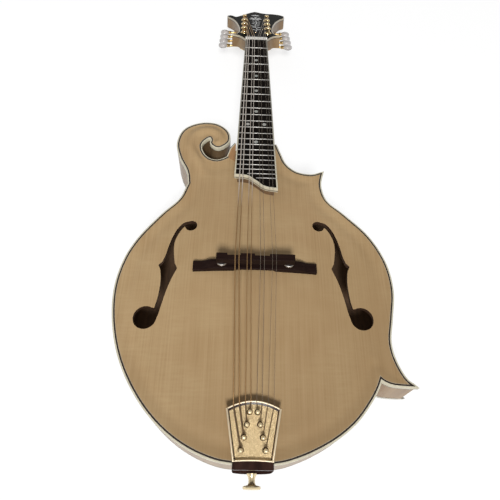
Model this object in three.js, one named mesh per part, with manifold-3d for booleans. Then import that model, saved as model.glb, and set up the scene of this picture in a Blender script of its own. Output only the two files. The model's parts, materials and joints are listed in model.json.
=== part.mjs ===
// An F-style mandolin as an assembly of separate solids, in millimetres.
// The pieces are modelled in the rim frame: X to the treble side, Y to the headstock, Z out of the top.
// Y is zero at the saddle line, and Z is zero at the top edge of the sides.
// The last section lays the instrument on its back and its headstock tip, with +Z up.
import * as THREE from "three";
import { mergeVertices } from "three/addons/utils/BufferGeometryUtils.js";
import Module from "manifold-3d";

const wasm = await Module();
wasm.setup();

// Body sizes
const bodyWidth = 258;
const bodyLength = 356;
const sideDepth = 44.5;
const plateEdge = 4.5;
const plateMiddle = 5;
const topArch = 11.5;
const backArch = 10.5;
const archWidthShare = 0.94574;
const archLengthShare = 0.86517;
const archCentreShare = -0.02809;
const ribThickness = 2.2;
const bindingWidth = 1.5;
const liningWidth = 5.5;
const liningDepth = 8;
const fit = 0.3;
const cutOverrun = 3;
const restFlatDepth = 0.3;

// The outline, as shares of the body's width and length, from the tail round the bass side
const bassBoutShares = [
  [0, -0.461], [-0.112, -0.453], [-0.23, -0.416], [-0.333, -0.353], [-0.422, -0.26], [-0.471, -0.166],
  [-0.491, -0.062], [-0.475, 0.025], [-0.437, 0.092], [-0.357, 0.176], [-0.295, 0.23], [-0.267, 0.289],
];
const scrollShares = [
  [-0.267, 0.289], [-0.277, 0.333], [-0.314, 0.39], [-0.331, 0.446], [-0.308, 0.5], [-0.245, 0.5275],
  [-0.174, 0.5265], [-0.124, 0.496], [-0.1186, 0.4565], [-0.161, 0.432], [-0.1895, 0.447],
  [-0.1885, 0.463], [-0.1965, 0.4725], [-0.2105, 0.468], [-0.2337, 0.443], [-0.2287, 0.4138],
  [-0.2004, 0.386], [-0.1616, 0.378], [-0.122, 0.3905], [-0.0955, 0.409],
];
const neckLineShares = [[-0.0895, 0.4228], [0.0795, 0.4228], [0.082, 0.4495]];
const shoulderShares = [
  [0.0845, 0.4495], [0.102, 0.412], [0.12, 0.376], [0.1435, 0.354], [0.172, 0.3395],
  [0.205, 0.333], [0.238, 0.3325], [0.277, 0.3425],
];
const trebleSideShares = [
  [0.277, 0.3425], [0.2705, 0.325], [0.264, 0.292], [0.282, 0.2385], [0.347, 0.19], [0.434, 0.118],
  [0.485, 0.035], [0.496, -0.044], [0.4785, -0.1185], [0.4615, -0.184], [0.471, -0.231],
  [0.4995, -0.275], [0.523, -0.2885],
];
const pointUnderShares = [
  [0.523, -0.2885], [0.475, -0.287], [0.4485, -0.2845], [0.4245, -0.277], [0.4155, -0.2715],
];
const trebleTailShares = [
  [0.4155, -0.2715], [0.3995, -0.296], [0.362, -0.3355], [0.3215, -0.369], [0.2635, -0.402],
  [0.203, -0.4265], [0.144, -0.4445], [0.086, -0.4565], [0, -0.461],
];

// The sound chamber's line leaves out the scroll, and the linings' line leaves out the two points as well
const chamberHeadShares = [[-0.255, 0.37], [0.1, 0.4]];
const shoulderSkipCount = 2;
const tipSkipCount = 2;

// Where the seams of the ribs at the two points start, inside the body
const upperInnerShare = [0.14, 0.25];
const lowerInnerShare = [0.34, -0.235];

// F-holes, on the treble side: outer edge, inner edge, upper eye and lower circle
const holeOuterShares = [
  [0.242, 0.1545], [0.269, 0.149], [0.29, 0.132], [0.306, 0.1065], [0.318, 0.0755], [0.3275, 0.042],
  [0.3355, 0.0255],
];
const holeNickOuterShares = [[0.3485, 0.0157]];
const holeLowOuterShares = [
  [0.34, 0.0028], [0.335, -0.0195], [0.3337, -0.045], [0.3365, -0.073], [0.3425, -0.098], [0.35, -0.115],
  [0.374, -0.13],
];
const holeLowInnerShares = [
  [0.3505, -0.1505], [0.3315, -0.129], [0.3215, -0.098], [0.314, -0.073], [0.306, -0.0505],
  [0.2965, -0.028], [0.2855, -0.0085],
];
const holeNickInnerShares = [[0.2787, 0.004]];
const holeUpInnerShares = [
  [0.289, 0.0197], [0.2945, 0.042], [0.2985, 0.0675], [0.2965, 0.09], [0.2885, 0.108], [0.277, 0.125],
  [0.2625, 0.1365], [0.242, 0.137],
];
const holeEyeShare = [0.242, 0.1375];
const holeEyeRadius = 5.9;
const holeCircleShare = [0.374, -0.13];
const holeCircleRadius = 10.6;
const holeStagger = 1.6;

// Blocks and tone bars
const blockLowShare = 0.32;
const blockSplitShares = [
  [-0.42, 0.3], [-0.22, blockLowShare], [0.125, blockLowShare], [0.125, 0.5], [0.1, 0.62], [-0.42, 0.62],
];
const tailBlockWidth = 66;
const tailBlockLength = 19;
const pointBlockLength = 30;
const toneBarWidth = 6;
const toneBarHeight = 13;
const toneBarEndHeight = 3;
const toneBarLines = [
  { name: "bass_tone_bar", topShare: [-0.135, 0.2], tailShare: [-0.09, -0.3] },
  { name: "treble_tone_bar", topShare: [0.105, 0.2], tailShare: [0.14, -0.3] },
];
const toneBarStepCount = 9;

// Fingerboard and neck
const scaleLength = 354.1;
const neckAngle = THREE.MathUtils.degToRad(5.6);
const boardRise = 26.3;
const boardThickness = 5;
const boardNutWidth = 28.8;
const boardEndWidth = 44.2;
const boardBindingWidth = 1.4;
const fretCount = 22;
const fullFretCount = 20;
const octaveFretCount = 12;
const fretWidth = 1.1;
const fretHeight = 1;
const partFretStartShares = { 21: -0.2, 22: 0 };
const boardBassEndShare = 0.7088;
const boardTrebleEndShare = 0.7597;
const boardEndShares = [
  [-0.5, 0], [-0.3, 0.02], [-0.19, 0.08], [-0.08, 0.3], [0.03, 0.52], [0.13, 0.76], [0.24, 0.9], [0.5, 1],
];
const jointShare = 0.42135;
const neckClearWidth = 41.6;
const neckNutDepth = 14;
const neckBodyDepth = 17.5;
const heelNarrowShare = 0.42;
const heelShares = [
  [0, 1], [0.025, 0.9], [0.055, 0.62], [0.085, 0.33], [0.12, 0.12], [0.16, 0.02], [0.22, 0], [0.6, 0], [1, 0],
  [1.03, 0],
];
const neckRingStepCount = 8;
const heelFullnessShare = 0.6;
const tenonWidth = 18;
const tenonEndWidth = 26;
const tenonLength = 13;
const nutLength = 4;
const nutRise = 1.6;
const rodRadius = 2.5;
const rodSetback = 13.4;
const rodNutRadius = 2.9;
const rodNutLength = 6.5;
const riserInset = 3;

// Headstock
const headTilt = THREE.MathUtils.degToRad(20.6);
const headLength = 157;
const headWidth = 90;
const headDrop = 3.2;
const veneerThickness = 2;
const headCore = 13;
const headBassShares = [
  [-0.16, 0], [-0.185, 0.03], [-0.222, 0.076], [-0.268, 0.113], [-0.32, 0.135], [-0.37, 0.14],
];
const headBassWaistShares = [
  [-0.37, 0.14], [-0.305, 0.178], [-0.27, 0.235], [-0.264, 0.31], [-0.278, 0.41], [-0.31, 0.52],
  [-0.35, 0.62], [-0.41, 0.7], [-0.478, 0.757],
];
const headTopShares = [
  [-0.478, 0.757], [-0.482, 0.8], [-0.436, 0.825], [-0.385, 0.809], [-0.335, 0.774], [-0.27, 0.812],
  [-0.18, 0.888], [-0.085, 0.96], [-0.012, 1],
];
const headTrebleTopShares = [
  [-0.012, 1], [0.035, 0.985], [0.11, 0.952], [0.21, 0.931], [0.31, 0.928], [0.425, 0.9], [0.495, 0.85],
  [0.485, 0.765],
];
const headTrebleWaistShares = [
  [0.485, 0.765], [0.42, 0.715], [0.356, 0.63], [0.305, 0.52], [0.274, 0.41], [0.26, 0.31], [0.27, 0.235],
  [0.305, 0.182], [0.37, 0.145],
];
const headTrebleShares = [
  [0.37, 0.145], [0.32, 0.138], [0.268, 0.115], [0.222, 0.076], [0.185, 0.03], [0.16, 0],
];
const coverLength = 34;
const coverWidth = 21;
const coverThickness = 1.5;
const coverShares = [
  [-0.5, 0.03], [-0.42, 0.3], [-0.2, 0.55], [-0.12, 0.82], [0, 1], [0.12, 0.82], [0.2, 0.55], [0.42, 0.3],
  [0.5, 0.03],
];

// Tuners
const postRowFirst = 34;
const postRowStep = 22.5;
const postSpread = 16.5;
const postRadius = 3;
const postWaist = 2.4;
const postHeight = 7.8;
const postWaistLow = 1.8;
const postWaistHigh = 6;
const postHoleClearance = 0.6;
const plateThickness = 1.5;
const tunerPlateInner = 9.4;
const tunerPlateOuter = 23;
const tunerPlateMargin = 7.5;
const gearToothCount = 14;
const gearRadius = 5.4;
const gearRoot = 4.3;
const gearThickness = 3;
const gearDrop = 1.7;
const wormRadius = 2.6;
const wormCore = 1.9;
const wormLength = 8;
const wormRidgeCount = 3;
const knobShaftRadius = 1.5;
const lugOffset = 5.6;
const lugThickness = 1.6;
const lugWidth = 5.4;
const knobReach = 46.5;
const knobLength = 13;
const knobWidth = 14;
const knobThickness = 7.5;
const knobCollar = 2.6;
const knobCollarLength = 4;

// Bridge
const bridgeLength = 114;
const bridgeHalfDepth = 4.7;
const baseFlatShare = 0.66;
const baseTop = 16.2;
const baseEndThickness = 4.2;
const baseReliefShare = 0.35;
const baseRelief = 2;
const saddleBottom = 22;
const saddleTop = 30;
const saddleLength = 70;
const saddleHalfDepth = 3.3;
const saddleStepDepth = 1.8;
const saddleStepShares = [[-0.36, -0.19], [-0.01, 0.18]];
const studSpread = saddleLength * 0.43286;
const studRadius = 1.75;
const studTop = 26;
const studSunk = 3.5;
const saddleHoleTop = 29;
const wheelRadius = 4.9;
const wheelThickness = 2.5;

// Tailpiece and strap button
const trayLength = 38.2;
const trayLipRise = 6.2;
const trayFrontWidth = 43.8;
const trayRearWidth = 31.6;
const trayRearInset = 1.4;
const trayRearHeight = 2;
const traySlope = THREE.MathUtils.degToRad(10);
const trayFloor = 1.6;
const trayRim = 3.4;
const trayRimThickness = 1.6;
const trayLip = 1;
const trayLipInset = 2.4;
const trayFrontShares = [[1, 0], [0.66, 0.58], [0.33, 0.89], [0, 1], [-0.33, 0.89], [-0.66, 0.58], [-1, 0]];
const hitchRadius = 1.2;
const hitchHeight = 5.2;
const hitchBallRadius = 1.8;
const hitchRowFirst = 8.2;
const hitchRowStep = 9.2;
const hitchSpreadRear = 9.5;
const hitchSpreadStep = 2.15;
const hitchRowCount = 4;
const bracketPlate = 2.6;
const bracketTop = 6.3;
const bracketDrop = 33;
const buttonDrop = 20;
const buttonShankRadius = 2.6;
const buttonShankSunk = 14;
const buttonCollarRadius = 4.2;
const buttonNeckRadius = 2.6;
const buttonDiscRadius = 7.2;
const buttonDiscThickness = 3;
const buttonNeckLength = 8.6;

// Strings
const stringSideCount = 5;
const windingTurnCount = 2;
const windingStepCount = 16;
const windingGap = 0.45;
const windingTop = 5.3;
const stringHitchHeight = 3.5;
const courseNames = ["g", "d", "a", "e"];
const courseDiameters = [0.98, 0.66, 0.38, 0.28];
const courseNutOuters = [11.8, 4.8, 4.8, 11.8];
const courseNutPair = 2.5;
const courseSaddleOuters = [18.2, 7.6, 7.6, 18.2];
const courseSaddlePair = 3.4;

// Counts for curved faces
const boutSampleCount = 2;
const shortSampleCount = 1;
const scrollSampleCount = 2;
const holeSampleCount = 1;
const headSampleCount = 1;
const roundSideCount = 12;
const smallSideCount = 8;
const tinySideCount = 6;
const ballRingCount = 4;
const archAcrossCount = 12;
const archAlongCount = 16;
const underAcrossCount = 14;
const underAlongCount = 14;
const mergeTolerance = 1e-4;
const sharpestMiterShare = 0.4;
const restStepCount = 50;

// Materials
const finishes = {
  spruce: ["#d9bd8c", 0.35, 0],
  maple: ["#e0cba0", 0.35, 0],
  ivoroid: ["#ece4cf", 0.4, 0],
  ebony: ["#1c1613", 0.45, 0],
  innerWood: ["#c9a878", 0.8, 0],
  bone: ["#efe9da", 0.4, 0],
  gold: ["#d8b25a", 0.25, 1],
  nickel: ["#c9c9c6", 0.25, 1],
  steel: ["#8f9194", 0.4, 1],
  pearl: ["#ddd6cd", 0.3, 0],
  bronze: ["#b98d4f", 0.35, 1],
  lacquer: ["#17130f", 0.2, 0],
};
const materials = {};
for (const [name, [color, roughness, metalness]] of Object.entries(finishes)) {
  materials[name] = new THREE.MeshStandardMaterial({ name, color, roughness, metalness });
}

// A closed mesh as a solid, turned the right way out
function solidOf(geometry) {
  const bare = geometry.clone();
  bare.deleteAttribute("normal");
  bare.deleteAttribute("uv");
  const merged = mergeVertices(bare, mergeTolerance);
  return new wasm.Manifold(
    new wasm.Mesh({
      numProp: 3,
      vertProperties: new Float32Array(merged.attributes.position.array),
      triVerts: new Uint32Array(merged.index.array),
    }),
  );
}

function geometryOf(solid) {
  const { vertProperties, triVerts } = solid.getMesh();
  const geometry = new THREE.BufferGeometry();
  geometry.setAttribute("position", new THREE.BufferAttribute(vertProperties, 3));
  geometry.setIndex(new THREE.BufferAttribute(triVerts, 1));
  return geometry.toNonIndexed();
}

function prism(points, low, high) {
  const shape = new THREE.Shape(points.map(([x, y]) => new THREE.Vector2(x, y)));
  const geometry = new THREE.ExtrudeGeometry(shape, { depth: high - low, bevelEnabled: false });
  return solidOf(geometry.translate(0, 0, low));
}

function block(lowCorner, highCorner) {
  const size = highCorner.map((value, axis) => value - lowCorner[axis]);
  const middle = highCorner.map((value, axis) => (value + lowCorner[axis]) / 2);
  return solidOf(new THREE.BoxGeometry(...size).translate(...middle));
}

// A turned shape: radius and height pairs, closed on the axis, which is Z
function turned(profile, sides = roundSideCount) {
  const points = profile.map(([radius, height]) => new THREE.Vector2(radius, height));
  return solidOf(new THREE.LatheGeometry(points, sides).rotateX(Math.PI / 2));
}

function cylinder(radius, low, high, sides = roundSideCount) {
  return turned([[0, low], [radius, low], [radius, high], [0, high]], sides);
}

// A solid through rings of points that have equal counts
function loftGeometry(rings) {
  const sides = rings[0].length;
  const last = (rings.length - 1) * sides;
  const index = [];
  for (let start = 0; start < last; start += sides) {
    for (let side = 0; side < sides; side++) {
      const a = start + side;
      const b = start + ((side + 1) % sides);
      index.push(a, b, b + sides, a, b + sides, a + sides);
    }
  }
  for (let side = 1; side < sides - 1; side++) {
    index.push(0, side + 1, side, last, last + side, last + side + 1);
  }
  const geometry = new THREE.BufferGeometry();
  geometry.setFromPoints(rings.flat());
  geometry.setIndex(index);
  return geometry;
}

// A round tube along points, with square ends
function tubeGeometry(points, radius, sides) {
  const rings = [];
  let across = new THREE.Vector3(0, 0, 1);
  points.forEach((point, i) => {
    const before = points[Math.max(i - 1, 0)];
    const after = points[Math.min(i + 1, points.length - 1)];
    const along = after.clone().sub(before).normalize();
    across = across.clone().addScaledVector(along, -across.dot(along)).normalize();
    const third = along.clone().cross(across);
    const ring = [];
    for (let side = 0; side < sides; side++) {
      const angle = (side / sides) * Math.PI * 2;
      const offset = across.clone().multiplyScalar(Math.cos(angle)).addScaledVector(third, Math.sin(angle));
      ring.push(point.clone().addScaledVector(offset, radius));
    }
    rings.push(ring);
  });
  return loftGeometry(rings);
}

// Everything under a height function, down to a plane, over a rectangle
function under(height, low, [x0, y0], [x1, y1], acrossCount, alongCount) {
  const positions = [];
  const index = [];
  const at = (i, j) => j * (acrossCount + 1) + i;
  for (let j = 0; j <= alongCount; j++) {
    for (let i = 0; i <= acrossCount; i++) {
      const x = x0 + ((x1 - x0) * i) / acrossCount;
      const y = y0 + ((y1 - y0) * j) / alongCount;
      positions.push(x, y, height(x, y));
    }
  }
  for (let j = 0; j < alongCount; j++) {
    for (let i = 0; i < acrossCount; i++) {
      index.push(at(i, j), at(i + 1, j), at(i + 1, j + 1), at(i, j), at(i + 1, j + 1), at(i, j + 1));
    }
  }
  const edge = [];
  for (let i = 0; i < acrossCount; i++) {
    edge.push(at(i, 0));
  }
  for (let j = 0; j < alongCount; j++) {
    edge.push(at(acrossCount, j));
  }
  for (let i = acrossCount; i > 0; i--) {
    edge.push(at(i, alongCount));
  }
  for (let j = alongCount; j > 0; j--) {
    edge.push(at(0, j));
  }
  const foot = positions.length / 3;
  for (const corner of edge) {
    positions.push(positions[corner * 3], positions[corner * 3 + 1], low);
  }
  const centre = positions.length / 3;
  positions.push((x0 + x1) / 2, (y0 + y1) / 2, low);
  edge.forEach((corner, k) => {
    const next = (k + 1) % edge.length;
    index.push(corner, foot + k, foot + next, corner, foot + next, edge[next]);
    index.push(centre, foot + next, foot + k);
  });
  const geometry = new THREE.BufferGeometry();
  geometry.setAttribute("position", new THREE.Float32BufferAttribute(positions, 3));
  geometry.setIndex(index);
  return solidOf(geometry);
}

function moved(solid, matrix) {
  return solidOf(geometryOf(solid).applyMatrix4(matrix));
}

// Outlines
function smooth(shares, width, length, samples) {
  const points = shares.map(([x, y]) => new THREE.Vector3(x * width, y * length, 0));
  const curve = new THREE.CatmullRomCurve3(points, false, "centripetal");
  return curve.getPoints((points.length - 1) * samples).map(({ x, y }) => [x, y]);
}

function joinLines(lines) {
  const joined = [];
  for (const point of lines.flat()) {
    const last = joined.at(-1);
    if (!last || Math.hypot(point[0] - last[0], point[1] - last[1]) > fit / 2) joined.push(point);
  }
  const first = joined[0];
  const last = joined.at(-1);
  if (Math.hypot(first[0] - last[0], first[1] - last[1]) < fit / 2) joined.pop();
  return joined;
}

// A closed line moved outwards by a distance, or inwards where the distance is negative
function offset(line, distance) {
  const turns = line.reduce((sum, [x, y], i) => {
    const [nextX, nextY] = line[(i + 1) % line.length];
    return sum + x * nextY - y * nextX;
  }, 0);
  const out = Math.sign(turns) * distance;
  return line.map((point, i) => {
    const before = line[(i + line.length - 1) % line.length];
    const after = line[(i + 1) % line.length];
    const first = new THREE.Vector2(point[1] - before[1], before[0] - point[0]).normalize();
    const second = new THREE.Vector2(after[1] - point[1], point[0] - after[0]).normalize();
    const middle = first.clone().add(second).normalize();
    const reach = out / Math.max(middle.dot(first), sharpestMiterShare);
    return [point[0] + middle.x * reach, point[1] + middle.y * reach];
  });
}

function band(line, inner, outer, low, high, innerLine = line) {
  const hollow = prism(offset(innerLine, inner), low - cutOverrun, high + cutOverrun);
  return prism(offset(line, outer), low, high).subtract(hollow);
}

const onBody = (shares) => shares.map(([x, y]) => [x * bodyWidth, y * bodyLength]);
const bodyCurve = (shares, samples) => smooth(shares, bodyWidth, bodyLength, samples);
const bodyLine = joinLines([
  bodyCurve(bassBoutShares, boutSampleCount),
  bodyCurve(scrollShares, scrollSampleCount),
  onBody(neckLineShares),
  bodyCurve(shoulderShares, shortSampleCount),
  bodyCurve(trebleSideShares, boutSampleCount),
  bodyCurve(pointUnderShares, shortSampleCount),
  bodyCurve(trebleTailShares, shortSampleCount),
]);

const chamberLine = joinLines([
  bodyCurve(bassBoutShares, boutSampleCount),
  onBody(chamberHeadShares),
  bodyCurve(shoulderShares.slice(shoulderSkipCount), shortSampleCount),
  bodyCurve(trebleSideShares, boutSampleCount),
  bodyCurve(pointUnderShares, shortSampleCount),
  bodyCurve(trebleTailShares, shortSampleCount),
]);
const liningLine = joinLines([
  onBody(bassBoutShares),
  onBody(chamberHeadShares),
  onBody(shoulderShares.slice(shoulderSkipCount, -tipSkipCount)),
  onBody(trebleSideShares.slice(tipSkipCount, -tipSkipCount)),
  onBody(trebleTailShares),
]);
const ribOuter = fit + bindingWidth;
const ribInner = ribOuter - ribThickness;
const topOfRibs = -plateEdge - fit;
const bottomOfRibs = -sideDepth + plateEdge + fit;
const bodyReach = bodyLength;
const jointY = bodyLength * jointShare;
const tailEdge = bassBoutShares[0][1] * bodyLength;

// The arch of a plate at a point: its full height at the centre, falling to a flat edge
const archWidth = bodyWidth * archWidthShare;
const archLength = bodyLength * archLengthShare;
const archCentre = bodyLength * archCentreShare;
function archAt(x, y, height) {
  const across = (x * 2) / archWidth;
  const along = ((y - archCentre) * 2) / archLength;
  const left = Math.max(1 - across * across - along * along, 0);
  return height * left * left;
}

// Places on the fingerboard plane
const boardBassEnd = scaleLength * boardBassEndShare;
const boardTrebleEnd = scaleLength * boardTrebleEndShare;
const boardMatrix = new THREE.Matrix4().makeRotationX(-neckAngle);
boardMatrix.setPosition(0, scaleLength * Math.cos(neckAngle), boardRise - scaleLength * Math.sin(neckAngle));
const boardZ = (y) => boardRise - y * Math.tan(neckAngle);
const neckTop = (y) => boardZ(y) - (boardThickness + fit) / Math.cos(neckAngle);
const headStart = nutLength + fit * 2 + veneerThickness * Math.tan(headTilt - neckAngle);
const headMatrix = new THREE.Matrix4().makeRotationX(-headTilt);
headMatrix.setPosition(new THREE.Vector3(0, headStart, -headDrop).applyMatrix4(boardMatrix));
const inBoard = (solid) => moved(solid, boardMatrix);
const inHead = (solid) => moved(solid, headMatrix);
const boardHalfWidth = (distance) =>
  (boardNutWidth + ((boardEndWidth - boardNutWidth) * distance) / boardTrebleEnd) / 2;

// Body pieces
const group = new THREE.Group();
function piece(name, solid, finish) {
  const mesh = new THREE.Mesh(geometryOf(solid), materials[finish]);
  mesh.name = name;
  group.add(mesh);
  return mesh;
}

const neckClear = block(
  [-neckClearWidth / 2, jointY, -bodyReach], [neckClearWidth / 2, bodyReach, bodyReach],
);

function mirroredHole(side) {
  const shift = ([x, y]) => [x * side, y + holeStagger * side];
  const stem = joinLines([
    bodyCurve(holeOuterShares, holeSampleCount), onBody(holeNickOuterShares),
    bodyCurve(holeLowOuterShares, holeSampleCount), bodyCurve(holeLowInnerShares, holeSampleCount),
    onBody(holeNickInnerShares), bodyCurve(holeUpInnerShares, holeSampleCount),
  ]).map(shift);
  const low = -plateEdge - cutOverrun;
  const high = topArch + cutOverrun;
  const round = (share, radius) => {
    const [x, y] = shift(onBody([share])[0]);
    const matrix = new THREE.Matrix4().makeTranslation(x, y, 0);
    return moved(cylinder(radius, low, high, roundSideCount), matrix);
  };
  const eye = round(holeEyeShare, holeEyeRadius);
  const circle = round(holeCircleShare, holeCircleRadius);
  return prism(side > 0 ? stem : stem.reverse(), low, high).add(eye).add(circle);
}

const undersideZ = (x, y, arch) => archAt(x, y, arch - plateMiddle + plateEdge) - plateEdge - fit / 6;
const archReachShare = 0.56;
function archedPlate(arch) {
  const corner = [-bodyWidth * archReachShare, archCentre - bodyLength * archReachShare];
  const farCorner = [bodyWidth * archReachShare, archCentre + bodyLength * archReachShare];
  const outside = under(
    (x, y) => archAt(x, y, arch), -plateEdge, corner, farCorner, archAcrossCount, archAlongCount,
  );
  const inside = under(
    (x, y) => undersideZ(x, y, arch), -plateEdge - cutOverrun,
    corner, farCorner, underAcrossCount, underAlongCount,
  );
  const outline = prism(bodyLine, -plateEdge, arch + cutOverrun);
  return outside.intersect(outline).subtract(inside).subtract(neckClear);
}

const topHoles = mirroredHole(1).add(mirroredHole(-1));
piece("soundboard", archedPlate(topArch).subtract(topHoles), "spruce");
const flipBack = new THREE.Matrix4().makeScale(1, 1, -1).setPosition(0, 0, -sideDepth);
function flipped(solid) {
  const geometry = geometryOf(solid).applyMatrix4(flipBack);
  const position = geometry.attributes.position;
  for (let i = 0; i < position.count; i += 3) {
    const first = new THREE.Vector3().fromBufferAttribute(position, i);
    const second = new THREE.Vector3().fromBufferAttribute(position, i + 1);
    position.setXYZ(i, second.x, second.y, second.z);
    position.setXYZ(i + 1, first.x, first.y, first.z);
  }
  return solidOf(geometry);
}
const uncutBack = flipped(archedPlate(backArch));

const bindingRing = (low, high) => band(bodyLine, fit, ribOuter, low, high).subtract(neckClear);
piece("top_binding", bindingRing(-plateEdge, 0), "ivoroid");
piece("back_binding", bindingRing(-sideDepth, plateEdge - sideDepth), "ivoroid");

// Ribs: one ring, parted at the blocks, the tail seam and the two points
const blockRegion = prism(onBody(blockSplitShares), -sideDepth, 0);
const blockRegionWide = prism(offset(onBody(blockSplitShares), fit), -sideDepth - cutOverrun, cutOverrun);
const upperTip = onBody([trebleSideShares[0]])[0];
const lowerTip = onBody([pointUnderShares[0]])[0];
const upperSeamPoint = onBody([upperInnerShare])[0];
const lowerSeamPoint = onBody([lowerInnerShare])[0];
function pastTip([fromX, fromY], [tipX, tipY]) {
  const reach = bodyReach / Math.hypot(tipX - fromX, tipY - fromY);
  return [fromX + (tipX - fromX) * reach, fromY + (tipY - fromY) * reach];
}
const upperFar = pastTip(upperSeamPoint, upperTip);
const lowerFar = pastTip(lowerSeamPoint, lowerTip);
function seamWall([fromX, fromY], [toX, toY]) {
  const along = new THREE.Vector2(toX - fromX, toY - fromY).normalize();
  const sideX = (-along.y * fit) / 2;
  const sideY = (along.x * fit) / 2;
  const corners = [
    [fromX + sideX, fromY + sideY], [fromX - sideX, fromY - sideY],
    [toX - sideX, toY - sideY], [toX + sideX, toY + sideY],
  ];
  return prism(corners, -sideDepth, 0);
}
const seams = seamWall(upperSeamPoint, upperFar)
  .add(seamWall(lowerSeamPoint, lowerFar))
  .add(block([-fit / 2, -bodyReach, -sideDepth], [fit / 2, 0, 0]));

const buttonMatrix = new THREE.Matrix4().makeRotationX(Math.PI / 2);
const ribTail = tailEdge - ribOuter;
buttonMatrix.setPosition(0, ribTail, -buttonDrop);
const buttonBore = moved(
  cylinder(buttonShankRadius + fit, -tailBlockLength - cutOverrun, bracketPlate + cutOverrun), buttonMatrix,
);

const ribRing = band(bodyLine, ribInner, ribOuter, bottomOfRibs, topOfRibs, chamberLine)
  .subtract(blockRegionWide).subtract(seams).subtract(buttonBore).subtract(neckClear);
const regions = {
  bass_rib: [[0, -bodyReach], [0, bodyReach], [-bodyReach, bodyReach], [-bodyReach, -bodyReach]],
  upper_treble_rib: [[0, 0], upperSeamPoint, upperFar, [0, bodyReach]],
  middle_treble_rib: [[0, 0], lowerSeamPoint, lowerFar, upperFar, upperSeamPoint],
  lower_treble_rib: [[0, 0], [0, -bodyReach], lowerFar, lowerSeamPoint],
};
for (const [name, region] of Object.entries(regions)) {
  piece(name, ribRing.intersect(prism(region, -sideDepth, 0)), "maple");
}

// Linings, and the blocks that are notched for them
const liningOuter = ribInner - fit;
const inside = prism(offset(chamberLine, liningOuter), bottomOfRibs, topOfRibs);
const liningInner = liningOuter - liningWidth;
const liningRing = (low, high) =>
  band(liningLine, liningInner, liningOuter, low, high).subtract(blockRegionWide).intersect(inside);
piece("top_lining", liningRing(topOfRibs - liningDepth, topOfRibs), "innerWood");
piece("back_lining", liningRing(bottomOfRibs, bottomOfRibs + liningDepth), "innerWood");
const liningRoom = band(liningLine, liningInner - fit, liningOuter + fit, topOfRibs - liningDepth - fit, 0)
  .add(band(liningLine, liningInner - fit, liningOuter + fit, -sideDepth, bottomOfRibs + liningDepth + fit));

const blockOutline = prism(offset(bodyLine, ribOuter), bottomOfRibs, topOfRibs);
function dovetail(grow, low, high) {
  const root = tenonWidth / 2 + grow;
  const tip = tenonEndWidth / 2 + grow;
  const front = jointY + cutOverrun;
  const back = jointY - tenonLength - grow;
  return prism([[-root, front], [-tip, back], [tip, back], [root, front]], low, high);
}
const socket = dovetail(fit, -sideDepth, 0);
piece("head_block", blockOutline.intersect(blockRegion).subtract(neckClear).subtract(socket), "maple");

const tailBlockFront = tailEdge + tailBlockLength;
const tailBlock = block(
  [-tailBlockWidth / 2, -bodyReach, -sideDepth], [tailBlockWidth / 2, tailBlockFront, 0],
);
piece("tail_block", inside.intersect(tailBlock).subtract(liningRoom).subtract(buttonBore), "innerWood");
function pointBlock(tip, inner) {
  const matrix = new THREE.Matrix4().makeTranslation(tip[0], tip[1], 0);
  const toTip = new THREE.Vector2(tip[0] - inner[0], tip[1] - inner[1]).normalize();
  matrix.multiply(new THREE.Matrix4().makeRotationZ(Math.atan2(toTip.y, toTip.x)));
  const reach = pointBlockLength;
  return moved(block([-reach, -reach, -sideDepth], [reach, reach, 0]), matrix);
}
for (const [name, tip, inner] of [
  ["upper_point_block", upperTip, upperSeamPoint],
  ["lower_point_block", lowerTip, lowerSeamPoint],
]) {
  const rough = inside.intersect(pointBlock(tip, inner));
  piece(name, rough.subtract(liningRoom).subtract(blockRegionWide), "innerWood");
}

// Tone bars under the soundboard
for (const { name, topShare, tailShare } of toneBarLines) {
  const [startX, startY] = onBody([topShare])[0];
  const [endX, endY] = onBody([tailShare])[0];
  const rings = [];
  for (let step = 0; step <= toneBarStepCount; step++) {
    const share = step / toneBarStepCount;
    const x = startX + (endX - startX) * share;
    const y = startY + (endY - startY) * share;
    const height = toneBarEndHeight + (toneBarHeight - toneBarEndHeight) * Math.sin(share * Math.PI);
    const left = x - toneBarWidth / 2;
    const right = x + toneBarWidth / 2;
    const leftTop = undersideZ(left, y, topArch) - fit;
    const rightTop = undersideZ(right, y, topArch) - fit;
    const bottom = Math.min(leftTop, rightTop) - height;
    rings.push([
      new THREE.Vector3(left, y, leftTop), new THREE.Vector3(left, y, bottom),
      new THREE.Vector3(right, y, bottom), new THREE.Vector3(right, y, rightTop),
    ]);
  }
  piece(name, solidOf(loftGeometry(rings)), "innerWood");
}

// Fingerboard, in its own frame: the nut end is at Y zero and the body is at negative Y
const fretAt = (number) => scaleLength * (1 - 2 ** (-number / octaveFretCount));
const boardEnd = smooth(boardEndShares, boardEndWidth, 1, boutSampleCount).map(([x, share]) => {
  const distance = boardBassEnd + (boardTrebleEnd - boardBassEnd) * share;
  return [x, -distance];
});
const boardLine = [[boardNutWidth / 2, 0], [-boardNutWidth / 2, 0], ...boardEnd];
const boardInset = boardBindingWidth + fit;
const nutCut = block(
  [-boardEndWidth, -fit, -boardThickness * 2], [boardEndWidth, boardEndWidth, boardThickness * 2],
);
let board = prism(offset(boardLine, -boardInset), -boardThickness, 0);
board = board.add(block(
  [-boardNutWidth / 2 + boardInset, -boardEndWidth, -boardThickness],
  [boardNutWidth / 2 - boardInset, -fit, 0],
));
for (let number = 1; number <= fretCount; number++) {
  const middle = -fretAt(number);
  const half = boardHalfWidth(fretAt(number)) - boardInset - fit;
  const start = number > fullFretCount ? partFretStartShares[number] * boardEndWidth : -half;
  const fretEdge = fretWidth / 2;
  board = board.add(block([start, middle - fretEdge, -fretHeight], [half, middle + fretEdge, fretHeight]));
}
piece("fingerboard", inBoard(board.subtract(nutCut)), "ebony");
const boardBand = band(boardLine, -boardBindingWidth, 0, -boardThickness, 0);
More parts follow.
